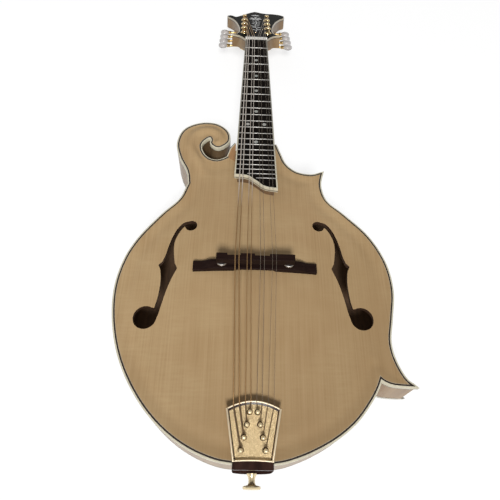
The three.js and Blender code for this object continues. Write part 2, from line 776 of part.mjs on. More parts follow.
const nutGap = block(
  [-boardNutWidth / 2 + boardBindingWidth, -boardEndWidth, -boardThickness * 2],
  [boardNutWidth / 2 - boardBindingWidth, boardEndWidth, boardThickness * 2],
);
piece("fingerboard_binding", inBoard(boardBand.subtract(nutCut).subtract(nutGap)), "ivoroid");

// Extension riser between the soundboard and the overhanging fingerboard
const boardUnder = inBoard(block(
  [-boardEndWidth, -scaleLength, -bodyLength], [boardEndWidth, scaleLength, -boardThickness - fit],
));
const riserOutline = inBoard(prism(offset(boardLine, -riserInset), -bodyLength, 0));
const overTop = under(
  (x, y) => archAt(x, y, topArch) + fit, -bodyLength,
  [-boardEndWidth, 0], [boardEndWidth, jointY + cutOverrun], archAcrossCount, archAlongCount,
);
const riserRoom = block([-boardEndWidth, 0, -plateEdge], [boardEndWidth, jointY - fit, bodyLength]);
piece("extension_riser", riserOutline.intersect(boardUnder).intersect(riserRoom).subtract(overTop), "ebony");

// Neck, heel and headstock core, in one piece
const neckLength = scaleLength * Math.cos(neckAngle) - jointY - fit;
const heelBottom = -sideDepth + fit;
const neckRings = heelShares.map(([along, heel]) => {
  const y = jointY + fit + neckLength * along;
  const top = neckTop(y);
  const plain = neckBodyDepth + (neckNutDepth - neckBodyDepth) * Math.min(along, 1);
  const depth = plain + (top - heelBottom - plain) * heel;
  const half = boardHalfWidth((scaleLength * Math.cos(neckAngle) - y) / Math.cos(neckAngle)) - fit;
  const power = 1 + (heelFullnessShare - 1) * heel;
  const ring = [];
  for (let step = 0; step <= neckRingStepCount; step++) {
    const angle = (Math.PI * step) / neckRingStepCount;
    const cosine = Math.cos(angle);
    const across = Math.sign(cosine) * Math.abs(cosine) ** power;
    const down = Math.sin(angle) ** power;
    const narrow = 1 - heelNarrowShare * heel * down;
    ring.push(new THREE.Vector3(half * across * narrow, y, top - depth * down));
  }
  return ring;
});
const headLine = joinLines([
  headBassShares, headBassWaistShares, headTopShares,
  headTrebleTopShares, headTrebleWaistShares, headTrebleShares,
].map((shares) => smooth(shares, headWidth, headLength, headSampleCount)));
const coreTop = -veneerThickness - fit;
const coreBottom = coreTop - headCore;
const postRows = [0, 1, 2, 3].map((row) => postRowFirst + postRowStep * row);
const postPlaces = [-1, 1].flatMap((side) => postRows.map((row) => ({ side, x: postSpread * side, row })));
const postHoles = postPlaces.map(({ x, row }) => {
  const matrix = new THREE.Matrix4().makeTranslation(x, row, 0);
  return moved(cylinder(postRadius + postHoleClearance, -headCore * 3, postHeight, smallSideCount), matrix);
}).reduce((all, one) => all.add(one));
const rodDepth = boardThickness + fit * 2 + rodRadius + fit;
const rodBodyEnd = scaleLength - jointY / Math.cos(neckAngle) - rodSetback;
const rodChannel = block(
  [-rodRadius - fit, -rodBodyEnd - fit, -rodDepth - rodRadius - fit],
  [rodRadius + fit, headStart, -boardThickness],
);
const rodPocket = block(
  [-rodNutRadius - fit, headStart - fit, -rodDepth - rodNutRadius - fit],
  [rodNutRadius + fit, headStart + rodNutLength + fit * 4, boardThickness],
);
const headAbove = block([-headWidth, 0, coreTop], [headWidth, headLength * 2, headLength]);
const neckSolid = solidOf(loftGeometry(neckRings))
  .add(inHead(prism(headLine, coreBottom, coreTop)))
  .subtract(inHead(headAbove)).subtract(inHead(postHoles))
  .subtract(inBoard(rodChannel)).subtract(inBoard(rodPocket))
  .add(dovetail(0, heelBottom + plateEdge + fit * 2, topOfRibs - fit));
piece("neck", neckSolid, "maple");

// Nut, truss rod and its nut
piece("nut", inBoard(block(
  [-boardNutWidth / 2, fit, -boardThickness], [boardNutWidth / 2, nutLength + fit, nutRise],
)), "bone");
const alongBoard = new THREE.Matrix4().makeRotationX(-Math.PI / 2).setPosition(0, 0, -rodDepth);
const rodEnd = headStart - fit * 2;
const rod = cylinder(rodRadius, -rodBodyEnd, rodEnd, roundSideCount);
piece("truss_rod", inBoard(moved(rod, alongBoard)), "steel");
piece("truss_rod_nut", inBoard(moved(
  cylinder(rodNutRadius, rodEnd + fit, rodEnd + fit + rodNutLength, roundSideCount / 2), alongBoard,
)), "steel");

// Headstock face, its binding and the truss rod cover
const veneerInset = bindingWidth + fit;
const veneer = prism(offset(headLine, -veneerInset), -veneerThickness, 0);
piece("headstock_veneer", inHead(veneer.subtract(postHoles)).subtract(inBoard(rodPocket)), "lacquer");
const headBand = band(headLine, -bindingWidth, 0, -veneerThickness, 0);
const bandGap = block(
  [-boardNutWidth / 2 + veneerInset, -headLength, -headCore],
  [boardNutWidth / 2 - veneerInset, veneerInset, headCore],
);
piece("headstock_binding", inHead(headBand.subtract(bandGap)), "ivoroid");
piece("truss_rod_cover", inHead(prism(
  smooth(coverShares, coverWidth, coverLength, 1), fit, fit + coverThickness,
)), "lacquer");

// Tuners, in the headstock frame
const tunerPlateTop = coreBottom - fit;
const tunerPlateBottom = tunerPlateTop - plateThickness;
const gearTop = tunerPlateBottom - gearDrop;
const gearMiddle = gearTop - gearThickness / 2;
const wormOffset = gearRadius + wormRadius + fit;
const headGroup = new THREE.Group();
headGroup.applyMatrix4(headMatrix);
group.add(headGroup);
function headPiece(name, solid, finish, x, y, z) {
  const mesh = piece(name, solid, finish);
  mesh.position.set(x, y, z);
  headGroup.add(mesh);
}
function lug(x, row) {
  const outside = block(
    [x - lugThickness / 2, row - lugWidth / 2, gearMiddle - lugWidth / 2],
    [x + lugThickness / 2, row + lugWidth / 2, tunerPlateBottom + plateThickness / 2],
  );
  const turn = new THREE.Matrix4().makeRotationY(Math.PI / 2).setPosition(x, row, gearMiddle);
  const bore = cylinder(knobShaftRadius + fit * 2, -lugThickness, lugThickness, tinySideCount);
  return outside.subtract(moved(bore, turn));
}
for (const [name, side] of [["bass_tuner_plate", -1], ["treble_tuner_plate", 1]]) {
  const edges = [tunerPlateInner * side, tunerPlateOuter * side].sort((a, b) => a - b);
  const first = postRows[0] - tunerPlateMargin;
  const last = postRows.at(-1) + wormOffset + lugWidth / 2;
  let plate = block([edges[0], first, tunerPlateBottom], [edges[1], last, tunerPlateTop]).subtract(postHoles);
  for (const row of postRows) {
    for (const along of [-lugOffset, lugOffset]) {
      plate = plate.add(lug(postSpread * side + along, row + wormOffset));
    }
  }
  headPiece(name, plate, "gold", 0, 0, 0);
}
function post() {
  const shaft = turned([
    [0, gearMiddle - gearThickness], [postRadius, gearMiddle - gearThickness],
    [postRadius, postWaistLow - fit], [postWaist, postWaistLow],
    [postWaist, postWaistHigh], [postRadius, postWaistHigh + fit],
    [postRadius, postHeight - fit], [postWaist, postHeight], [0, postHeight],
  ], smallSideCount);
  const teeth = [];
  for (let tooth = 0; tooth < gearToothCount; tooth++) {
    for (const [share, radius] of [[0, gearRoot], [0.5, gearRadius]]) {
      const angle = ((tooth + share) / gearToothCount) * Math.PI * 2;
      teeth.push([radius * Math.cos(angle), radius * Math.sin(angle)]);
    }
  }
  return shaft.add(prism(teeth, gearTop - gearThickness, gearTop));
}
// A knob on its worm shaft, along X, with its outer end on the positive side
function knob() {
  const pitch = wormLength / wormRidgeCount;
  const innerEnd = -lugOffset - lugThickness;
  const outerEnd = knobReach - postSpread;
  const profile = [[0, innerEnd], [knobShaftRadius, innerEnd], [knobShaftRadius, -wormLength / 2]];
  for (let ridge = 0; ridge < wormRidgeCount; ridge++) {
    const start = -wormLength / 2 + pitch * ridge;
    profile.push([wormCore, start], [wormRadius, start + pitch / 2], [wormCore, start + pitch - fit]);
  }
  const collarStart = outerEnd - knobLength / 2 - knobCollarLength / 2;
  profile.push([knobShaftRadius, wormLength / 2], [knobShaftRadius, collarStart]);
  const collarEnd = collarStart + knobCollarLength;
  profile.push([knobCollar, collarStart], [knobCollar, collarEnd], [0, collarEnd]);
  const upright = new THREE.Matrix4().makeRotationY(Math.PI / 2);
  const shaft = moved(turned(profile, tinySideCount), upright);
  const oval = new THREE.SphereGeometry(1 / 2, smallSideCount, tinySideCount);
  oval.scale(knobLength, knobWidth, knobThickness).translate(outerEnd, 0, 0);
  return shaft.add(solidOf(oval));
}
const turnAround = new THREE.Matrix4().makeRotationZ(Math.PI);
const stringsByPost = ["g1", "g2", "d1", "d2", "e1", "e2", "a1", "a2"];
postPlaces.forEach(({ side, x, row }, i) => {
  const label = stringsByPost[i];
  headPiece(`post_${label}`, post(), "gold", x, row, 0);
  const knobSolid = side > 0 ? knob() : moved(knob(), turnAround);
  headPiece(`knob_${label}`, knobSolid, "pearl", x, row + wormOffset, gearMiddle);
});

// Bridge base, studs, thumbwheels and saddle
const alongY = new THREE.Matrix4().makeRotationX(Math.PI / 2);
function acrossProfile(points, halfDepth) {
  return moved(prism(points, -halfDepth, halfDepth), alongY);
}
const baseHalf = bridgeLength / 2;
const baseFlat = baseHalf * baseFlatShare;
const reliefHalf = baseHalf * baseReliefShare;
const endTop = archAt(baseHalf, 0, topArch) + fit + baseEndThickness;
const baseBottomPoints = [];
const baseBottomStepCount = 12;
for (let step = 0; step <= baseBottomStepCount; step++) {
  const x = -baseHalf + (bridgeLength * step) / baseBottomStepCount;
  const relieved = Math.abs(x) < reliefHalf ? baseRelief : 0;
  baseBottomPoints.push([x, archAt(x, 0, topArch) + fit + relieved]);
}
const baseTopPoints = [[baseHalf, endTop], [baseFlat, baseTop], [-baseFlat, baseTop], [-baseHalf, endTop]];
let bridgeBase = acrossProfile([...baseBottomPoints, ...baseTopPoints], bridgeHalfDepth);
const studPlaces = [["bass", -studSpread], ["treble", studSpread]];
const studBottom = baseTop - studSunk;
function atStud(x, solid) {
  return moved(solid, new THREE.Matrix4().makeTranslation(x, 0, 0));
}
for (const [, x] of studPlaces) {
  const socket = cylinder(studRadius + fit, studBottom - fit, baseTop + cutOverrun);
  bridgeBase = bridgeBase.subtract(atStud(x, socket));
}
piece("bridge_base", bridgeBase, "ebony");
const wheelTop = saddleBottom - fit;
for (const [side, x] of studPlaces) {
  const bore = cylinder(studRadius + fit, 0, saddleTop);
  const wheel = cylinder(wheelRadius, wheelTop - wheelThickness, wheelTop, roundSideCount).subtract(bore);
  piece(`${side}_bridge_stud`, atStud(x, cylinder(studRadius, studBottom, studTop)), "nickel");
  piece(`${side}_thumbwheel`, atStud(x, wheel), "nickel");
}
const saddleHalf = saddleLength / 2;
const stepY = saddleHalfDepth - saddleStepDepth;
const saddlePlan = [
  [-saddleHalf, -saddleHalfDepth], [saddleHalf, -saddleHalfDepth], [saddleHalf, saddleHalfDepth],
];
for (const [from, to] of saddleStepShares.toReversed()) {
  saddlePlan.push([to * saddleLength, saddleHalfDepth], [to * saddleLength, stepY]);
  saddlePlan.push([from * saddleLength, stepY], [from * saddleLength, saddleHalfDepth]);
}
saddlePlan.push([-saddleHalf, saddleHalfDepth]);
let saddle = prism(saddlePlan, saddleBottom, saddleTop);
for (const [, x] of studPlaces) {
  saddle = saddle.subtract(atStud(x, cylinder(studRadius + fit, saddleBottom - cutOverrun, saddleHoleTop)));
}
piece("bridge_saddle", saddle, "ebony");

// Tailpiece, in a frame that starts at the tray's rear edge
const trayRearY = tailEdge + trayRearInset;
const trayMatrix = new THREE.Matrix4().makeRotationX(traySlope).setPosition(0, trayRearY, trayRearHeight);
const trayCorner = trayFrontWidth / 2;
const trayOutline = [
  [-trayRearWidth / 2, 0], [trayRearWidth / 2, 0],
  ...trayFrontShares.map(([across, rise]) => [across * trayCorner, trayLength + rise * trayLipRise]),
];
const trayTop = trayFloor + trayRim;
const pocket = offset(trayOutline, -trayRimThickness);
const lipCorner = trayCorner - trayLipInset;
const lipCut = block(
  [-lipCorner, trayLength - trayLipRise, trayFloor + trayLip], [lipCorner, trayLength * 2, trayTop * 2],
);
let tray = prism(trayOutline, 0, trayTop).subtract(prism(pocket, trayFloor, trayTop * 2)).subtract(lipCut);
const hitchPlaces = [];
for (let row = 0; row < hitchRowCount; row++) {
  for (const side of [-1, 1]) {
    const x = side * (hitchSpreadRear - hitchSpreadStep * row);
    const y = hitchRowFirst + hitchRowStep * row;
    hitchPlaces.push({ side, row, x, y });
    const ball = new THREE.SphereGeometry(hitchBallRadius, tinySideCount, ballRingCount).rotateX(Math.PI / 2);
    ball.translate(0, 0, trayFloor + hitchHeight);
    const peg = cylinder(hitchRadius, trayFloor / 2, trayFloor + hitchHeight, tinySideCount);
    const hitch = peg.add(solidOf(ball));
    tray = tray.add(moved(hitch, new THREE.Matrix4().makeTranslation(x, y, 0)));
  }
}
const bracketFace = ribTail - fit - bracketPlate;
const bracketHalf = trayRearWidth / 2;
const bracketBack = bracketFace + bracketPlate;
const bracketFront = trayRearY + trayRimThickness;
const bracket = block([-bracketHalf, bracketFace, fit], [bracketHalf, bracketFront, bracketTop])
  .add(block([-bracketHalf, bracketFace, -bracketDrop], [bracketHalf, bracketBack, bracketTop]))
  .subtract(buttonBore);
piece("tailpiece", moved(tray, trayMatrix).add(bracket), "gold");

// Strap button: its axis is Z here, and it is turned to point out of the tail
const buttonStart = ribTail - bracketFace + fit;
const buttonDiscStart = buttonStart + buttonNeckLength;
const buttonEnd = buttonDiscStart + buttonDiscThickness;
piece("strap_button", moved(turned([
  [0, -buttonShankSunk], [buttonShankRadius, -buttonShankSunk], [buttonShankRadius, buttonStart],
  [buttonCollarRadius, buttonStart], [buttonNeckRadius, buttonStart + buttonNeckLength / 2],
  [buttonNeckRadius + fit, buttonDiscStart], [buttonDiscRadius, buttonDiscStart + fit],
  [buttonDiscRadius, buttonEnd - fit], [buttonDiscRadius - fit * 2, buttonEnd], [0, buttonEnd],
]), buttonMatrix), "gold");

// Strings: from the tailpiece over the saddle and the nut to windings on the posts
let leastSelfGap = Infinity;
function winding(label, radius, side) {
  const place = postPlaces[stringsByPost.indexOf(label)];
  const turnRadius = postWaist + fit + radius;
  const pitch = radius * 2 + windingGap;
  const points = [];
  const steps = windingTurnCount * windingStepCount;
  for (let step = 0; step <= steps; step++) {
    const turn = step / windingStepCount;
    const angle = side < 0 ? turn * Math.PI * 2 : Math.PI - turn * Math.PI * 2;
    const x = place.x + turnRadius * Math.cos(angle);
    const y = place.row + turnRadius * Math.sin(angle);
    points.push(new THREE.Vector3(x, y, windingTop - pitch * turn));
  }
  for (let first = 0; first < points.length; first++) {
    for (let second = first + windingStepCount / 2; second < points.length; second++) {
      leastSelfGap = Math.min(leastSelfGap, points[first].distanceTo(points[second]) - radius * 2);
    }
  }
  const last = points.at(-1).clone().sub(points.at(-2)).normalize();
  points.push(points.at(-1).clone().addScaledVector(last, radius * 2));
  return points.map((point) => point.applyMatrix4(headMatrix));
}
courseNames.forEach((course, index) => {
  const side = index < 2 ? -1 : 1;
  const radius = courseDiameters[index] / 2;
  for (const inPair of [0, 1]) {
    const label = `${course}${inPair + 1}`;
    const nutX = side * (courseNutOuters[index] - courseNutPair * inPair);
    const saddleX = side * (courseSaddleOuters[index] - courseSaddlePair * inPair);
    const outerCourse = index === 0 || index === courseNames.length - 1;
    const hitchRow = (outerCourse ? 0 : hitchRowCount / 2) + inPair;
    const hitch = hitchPlaces.find((place) => place.side === side && place.row === hitchRow);
    const start = new THREE.Vector3(hitch.x, hitch.y + hitchRadius + fit, trayFloor + stringHitchHeight);
    const saddleZ = saddleTop + fit + radius;
    const nutZ = nutRise + fit + radius;
    const route = [
      start.applyMatrix4(trayMatrix),
      new THREE.Vector3(saddleX, -saddleHalfDepth, saddleZ),
      new THREE.Vector3(saddleX, saddleHalfDepth, saddleZ),
      new THREE.Vector3(nutX, 0, nutZ).applyMatrix4(boardMatrix),
      new THREE.Vector3(nutX, nutLength + fit, nutZ).applyMatrix4(boardMatrix),
      ...winding(label, radius, side),
    ];
    const string = solidOf(tubeGeometry(route, radius, stringSideCount));
    piece(`string_${label}`, string, index < 2 ? "bronze" : "steel");
  }
});
console.log(`least gap of a string winding to itself: ${leastSelfGap.toFixed(2)} mm`);

// Rest: tilted until the back and the headstock's rear edge lie on one level, on a small flat of the back
function profileOf(solid) {
  const { vertProperties } = solid.getMesh();
  const points = [];
  for (let i = 0; i < vertProperties.length; i += 3) {
    points.push([vertProperties[i + 1], vertProperties[i + 2]]);
  }
  return points;
}
const backPoints = profileOf(uncutBack);
const neckPoints = profileOf(neckSolid);
function lowest(points, tilt) {
  return Math.min(...points.map(([y, z]) => y * Math.sin(tilt) + z * Math.cos(tilt)));
}
let lowTilt = 0;
let highTilt = headTilt;
for (let step = 0; step < restStepCount; step++) {
  const middle = (lowTilt + highTilt) / 2;
  if (lowest(neckPoints, middle) < lowest(backPoints, middle) + restFlatDepth) {
    lowTilt = middle;
  } else {
    highTilt = middle;
  }
}
const ground = lowest(backPoints, lowTilt) + restFlatDepth;
const rest = new THREE.Matrix4().makeRotationX(lowTilt).setPosition(0, 0, -ground);
const floorBlock = block([-bodyWidth, -bodyLength, -bodyLength], [bodyWidth, bodyLength, 0]);
const backPlate = uncutBack.subtract(moved(floorBlock, rest.clone().invert()));
piece("back_plate", backPlate, "maple");

// The origin is the middle of the flat under the back
const flatPoints = profileOf(moved(backPlate, rest)).filter(([, z]) => z < mergeTolerance);
const flatYs = flatPoints.map(([y]) => y);
group.applyMatrix4(rest);
group.position.y -= (Math.min(...flatYs) + Math.max(...flatYs)) / 2;

const mandolin = new THREE.Group();
mandolin.add(group);

export default mandolin;
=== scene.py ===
import json
import math

import bmesh
import bpy
import numpy as np
from mathutils import Matrix, Vector
from mathutils.geometry import delaunay_2d_cdt


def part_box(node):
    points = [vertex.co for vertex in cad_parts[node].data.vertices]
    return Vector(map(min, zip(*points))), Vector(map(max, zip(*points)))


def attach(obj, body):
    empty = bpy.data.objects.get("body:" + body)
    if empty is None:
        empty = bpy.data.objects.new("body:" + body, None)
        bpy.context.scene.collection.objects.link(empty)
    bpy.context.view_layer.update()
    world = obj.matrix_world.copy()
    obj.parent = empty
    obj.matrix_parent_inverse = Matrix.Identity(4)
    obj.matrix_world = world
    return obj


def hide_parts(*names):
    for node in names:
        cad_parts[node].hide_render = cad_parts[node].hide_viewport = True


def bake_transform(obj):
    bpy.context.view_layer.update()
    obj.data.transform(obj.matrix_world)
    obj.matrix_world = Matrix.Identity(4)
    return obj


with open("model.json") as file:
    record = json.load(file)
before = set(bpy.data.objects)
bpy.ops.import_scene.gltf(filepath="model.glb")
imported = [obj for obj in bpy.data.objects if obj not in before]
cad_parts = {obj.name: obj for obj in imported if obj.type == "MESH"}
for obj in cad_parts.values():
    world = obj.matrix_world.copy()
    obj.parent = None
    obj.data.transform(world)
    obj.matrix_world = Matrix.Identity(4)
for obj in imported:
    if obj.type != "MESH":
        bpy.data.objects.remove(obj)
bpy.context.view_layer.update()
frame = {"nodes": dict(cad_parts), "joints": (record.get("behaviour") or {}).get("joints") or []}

scene = bpy.context.scene

# Frames. Lengths are millimetres in the rim frame: X to the treble side, Y to the headstock, Z out of the
# top, with zero at the saddle line and at the top edge of the sides. The matrices lead from there to metres.
joints = {joint["name"]: joint for joint in frame["joints"]}
millimetre = 0.001
quarter = math.radians(90)


def tilt_of(joint):
    axis = joint["axis"]
    return math.atan2(-axis[1], axis[2])


def frame_at(joint, local):
    """A frame's matrix, from millimetres, with the joint's axis as Z and the joint at a local point."""
    turn = Matrix.Rotation(tilt_of(joint), 4, "X")
    place = Vector(joint["pos_m"]) - turn.to_3x3() @ Vector(local) * millimetre
    return Matrix.Translation(place) @ turn @ Matrix.Scale(millimetre, 4)


stud_x, wheel_middle, post_spread, first_post = 30.3, 20.45, 16.5, 34
RIM = frame_at(joints["bass_wheel_turn"], (-stud_x, 0, wheel_middle))
HEAD = frame_at(joints["post_g1_turn"], (-post_spread, first_post, 0))
scale_length = 354.1
neck_angle = math.radians(5.6)
board_rise = 26.3
nut_y = scale_length * math.cos(neck_angle)
nut_z = board_rise - scale_length * math.sin(neck_angle)
BOARD = RIM @ Matrix.Translation((0, nut_y, nut_z)) @ Matrix.Rotation(-neck_angle, 4, "X")


# Outlines
def polar(radius, angle, centre=(0, 0)):
    return centre[0] + radius * math.cos(angle), centre[1] + radius * math.sin(angle)


def circle(radius, sides, centre=(0, 0)):
    return [polar(radius, math.tau * k / sides, centre) for k in range(sides)]


def moved(points, angle, centre):
    """The points turned about zero and then moved."""
    c, s = math.cos(angle), math.sin(angle)
    return [(centre[0] + c * x - s * y, centre[1] + s * x + c * y) for x, y in points]


def spline(points, steps=6):
    """A centripetal Catmull-Rom line through the points."""
    points = [Vector((x, y)) for x, y in points]
    ends = [points[0] * 2 - points[1], *points, points[-1] * 2 - points[-2]]
    line = []
    for i in range(len(points) - 1):
        p0, p1, p2, p3 = ends[i : i + 4]
        d0, d1, d2 = (max((b - a).length ** 0.5, 1e-3) for a, b in ((p0, p1), (p1, p2), (p2, p3)))
        t1 = ((p1 - p0) / d0 - (p2 - p0) / (d0 + d1) + (p2 - p1) / d1) * d1
        t2 = ((p2 - p1) / d1 - (p3 - p1) / (d1 + d2) + (p3 - p2) / d2) * d1
        for step in range(steps):
            t = step / steps
            h = (2 * t**3 - 3 * t**2 + 1, t**3 - 2 * t**2 + t, 3 * t**2 - 2 * t**3, t**3 - t**2)
            line.append(tuple(h[0] * p1 + h[1] * t1 + h[2] * p2 + h[3] * t2))
    return line + [tuple(points[-1])]


def join(*lines):
    joined = []
    for point in (point for line in lines for point in line):
        if not joined or math.dist(joined[-1], point) > 0.05:
            joined.append(point)
    return joined


def offset(line, distance, closed=True):
    """The line moved to its left where the distance is positive."""
    moved_line = []
    count = len(line)
    for i, point in enumerate(line):
        before = line[i - 1] if closed or i else point
        after = line[(i + 1) % count] if closed or i < count - 1 else point
        normals = []
        for a, b in ((before, point), (point, after)):
            length = math.dist(a, b)
            if length > 1e-6:
                normals.append(Vector((a[1] - b[1], b[0] - a[0])) / length)
        middle = sum(normals, Vector((0, 0))).normalized()
        reach = distance / max(middle.dot(normals[0]), 0.4)
        moved_line.append((point[0] + middle.x * reach, point[1] + middle.y * reach))
    return moved_line


body_width, body_length = 258, 356


def on_body(shares):
    return [(x * body_width, y * body_length) for x, y in shares]


bass_bout = on_body([
    (0, -0.461), (-0.112, -0.453), (-0.23, -0.416), (-0.333, -0.353), (-0.422, -0.26), (-0.471, -0.166),
    (-0.491, -0.062), (-0.475, 0.025), (-0.437, 0.092), (-0.357, 0.176), (-0.295, 0.23), (-0.267, 0.289),
])
scroll_side = on_body([
    (-0.267, 0.289), (-0.277, 0.333), (-0.314, 0.39), (-0.331, 0.446), (-0.308, 0.5), (-0.245, 0.5275),
    (-0.174, 0.5265), (-0.124, 0.496), (-0.1186, 0.4565), (-0.161, 0.432), (-0.1895, 0.447),
    (-0.1885, 0.463), (-0.1965, 0.4725), (-0.2105, 0.468), (-0.2337, 0.443), (-0.2287, 0.4138),
    (-0.2004, 0.386), (-0.1616, 0.378), (-0.122, 0.3905), (-0.0955, 0.409),
])
neck_line = on_body([(-0.0895, 0.4228), (0.0795, 0.4228), (0.082, 0.4495)])
shoulder = on_body([
    (0.0845, 0.4495), (0.102, 0.412), (0.12, 0.376), (0.1435, 0.354), (0.172, 0.3395),
    (0.205, 0.333), (0.238, 0.3325), (0.277, 0.3425),
])
treble_side = on_body([
    (0.277, 0.3425), (0.2705, 0.325), (0.264, 0.292), (0.282, 0.2385), (0.347, 0.19), (0.434, 0.118),
    (0.485, 0.035), (0.496, -0.044), (0.4785, -0.1185), (0.4615, -0.184), (0.471, -0.231),
    (0.4995, -0.275), (0.523, -0.2885),
])
point_under = on_body([
    (0.523, -0.2885), (0.475, -0.287), (0.4485, -0.2845), (0.4245, -0.277), (0.4155, -0.2715),
])
treble_tail = on_body([
    (0.4155, -0.2715), (0.3995, -0.296), (0.362, -0.3355), (0.3215, -0.369), (0.2635, -0.402),
    (0.203, -0.4265), (0.144, -0.4445), (0.086, -0.4565), (0, -0.461),
])
# From the neck's treble side round the tail to the neck's bass side
rim_path = join(
    spline(shoulder), spline(treble_side), spline(point_under, 4), spline(treble_tail),
    spline(bass_bout), spline(scroll_side, 8),
)
body_line = join(rim_path, neck_line[:-1])

hole_shares = [
    [(0.242, 0.1545), (0.269, 0.149), (0.29, 0.132), (0.306, 0.1065), (0.318, 0.0755), (0.3275, 0.042),
     (0.3355, 0.0255)],
    [(0.3485, 0.0157)],
    [(0.34, 0.0028), (0.335, -0.0195), (0.3337, -0.045), (0.3365, -0.073), (0.3425, -0.098), (0.35, -0.115),
     (0.374, -0.13)],
    [(0.3505, -0.1505), (0.3315, -0.129), (0.3215, -0.098), (0.314, -0.073), (0.306, -0.0505),
     (0.2965, -0.028), (0.2855, -0.0085)],
    [(0.2787, 0.004)],
    [(0.289, 0.0197), (0.2945, 0.042), (0.2985, 0.0675), (0.2965, 0.09), (0.2885, 0.108), (0.277, 0.125),
     (0.2625, 0.1365), (0.242, 0.137)],
]
hole_eye = ((0.242, 0.1375), 5.9)
hole_circle = ((0.374, -0.13), 10.6)
hole_stagger, circle_margin = 1.6, 0.3


# Plane regions as arrays
def inside(points, polygon):
    x, y = points[:, 0], points[:, 1]
    result = np.zeros(len(points), bool)
    ring = np.asarray(polygon)
    for (x0, y0), (x1, y1) in zip(ring, np.roll(ring, -1, axis=0)):
        if y0 != y1:
            crosses = (y0 > y) != (y1 > y)
            result ^= crosses & (x < (x1 - x0) * (y - y0) / (y1 - y0) + x0)
    return result


def clearance(points, line, closed=True):
    """The distance of each point from a line."""
    ring = np.asarray(line, float)
    starts = ring if closed else ring[:-1]
    ends = np.roll(ring, -1, axis=0) if closed else ring[1:]
    best = np.full(len(points), 1e9)
    for a, b in zip(starts, ends):
        along = b - a
        size = along @ along
        if size > 1e-12:
            share = np.clip(((points - a) @ along) / size, 0, 1)
            best = np.minimum(best, np.linalg.norm(points - a - share[:, None] * along, axis=1))
    return best


def triangulate(outline, holes=(), spacing=1e6, rings=()):
    """Triangles that fill the outline outside the holes, with inner points on a grid and on the rings."""
    low, high = np.min(outline, axis=0), np.max(outline, axis=0)
    xs = np.arange(low[0] + spacing / 3, high[0], spacing)
    ys = np.arange(low[1] + spacing / 3, high[1], spacing * 0.87)
    grid = [(x + (row % 2) * spacing / 2, y) for row, y in enumerate(ys) for x in xs]
    grid = np.array(grid + list(rings)).reshape(-1, 2)
    least = spacing * 0.35
    keep = inside(grid, outline) & (clearance(grid, outline) > least)
    for hole in holes:
        keep &= ~inside(grid, hole) & (clearance(grid, hole) > least)
    points, edges = [], []
    for line in (outline, *holes):
        start, count = len(points), len(line)
        points += [Vector(p) for p in line]
        edges += [(start + i, start + (i + 1) % count) for i in range(count)]
    points += [Vector(p) for p in grid[keep]]
    made, _, faces, *_ = delaunay_2d_cdt(points, edges, [], 0, 1e-5)
    made = np.array([tuple(p) for p in made])
    faces = [f for f in faces if len(f) == 3]
    middles = np.array([made[list(f)].mean(axis=0) for f in faces])
    keep = inside(middles, outline)
    for hole in holes:
        keep &= ~inside(middles, hole)
    faces = [f for f, kept in zip(faces, keep) if kept]
    used = sorted({i for f in faces for i in f})
    renumber = {old: new for new, old in enumerate(used)}
    return made[used], [tuple(renumber[i] for i in f) for f in faces]


def borders(faces):
    """The edges, in order of their triangle, that only one triangle has."""
    directed = {(f[i], f[(i + 1) % 3]) for f in faces for i in range(3)}
    return [edge for edge in directed if edge[::-1] not in directed]


# Shapes, each as its vertices and faces
def slab(flat, faces, tops, lows):
    """A solid between two heights at each point of a plane region."""
    count = len(flat)
    vertices = [(*p, z) for p, z in zip(flat, tops)] + [(*p, z) for p, z in zip(flat, lows)]
    walls = [(a, a + count, b + count, b) for a, b in borders(faces)]
    return vertices, faces + [tuple(i + count for i in reversed(f)) for f in faces] + walls


def prism(outline, low, high):
    flat, faces = triangulate(outline)
    return slab(flat, faces, [high] * len(flat), [low] * len(flat))


def merged(shapes):
    vertices, faces = [], []
    for some_vertices, some_faces in shapes:
        start = len(vertices)
        vertices += list(some_vertices)
        faces += [tuple(start + i for i in f) for f in some_faces]
    return vertices, faces


def turned(profile, sides=32, centre=(0, 0)):
    """A shape turned about Z from (radius, height) pairs that start and end on the axis."""
    inner = profile[1:-1]
    vertices = [(*centre, profile[0][1])]
    for radius, height in inner:
        vertices += [(*p, height) for p in circle(radius, sides, centre)]
    vertices.append((*centre, profile[-1][1]))
    faces = []
    last = 1 + (len(inner) - 1) * sides
    for k in range(sides):
        following = (k + 1) % sides
        faces.append((0, 1 + following, 1 + k))
        for a in range(1 + k, last, sides):
            b = a - k + following
            faces.append((a, b, b + sides, a + sides))
        faces.append((last + k, last + following, len(vertices) - 1))
    return vertices, faces


def loft(rings, closed=False):
    """A surface through rings of 3-D points that have equal counts, capped or closed to a ring of rings."""
    sides = len(rings[0])
    vertices = [tuple(p) for ring in rings for p in ring]
    count = len(vertices)
    faces = []
    for start in range(0, count if closed else count - sides, sides):
        for k in range(sides):
            a, b = start + k, start + (k + 1) % sides
            faces.append((a, b, (b + sides) % count, (a + sides) % count))
    if not closed:
        faces.append(tuple(reversed(range(sides))))
        faces.append(tuple(range(count - sides, count)))
    return vertices, faces


def turned_ring(profile, sides, centre, wave=lambda k, index: 0):
    """A closed (radius, height) line turned about Z, which leaves a hole. A wave may change its radii."""
    return loft([
        [(*polar(radius + wave(k, index), math.tau * k / sides, centre), height)
         for index, (radius, height) in enumerate(profile)]
        for k in range(sides)
    ], closed=True)


def pin(start, end, radius, sides, centre):
    """A round pin along X about a (Y, Z) centre."""
    return loft([[(x, *p) for p in circle(radius, sides, centre)] for x in (start, end)])


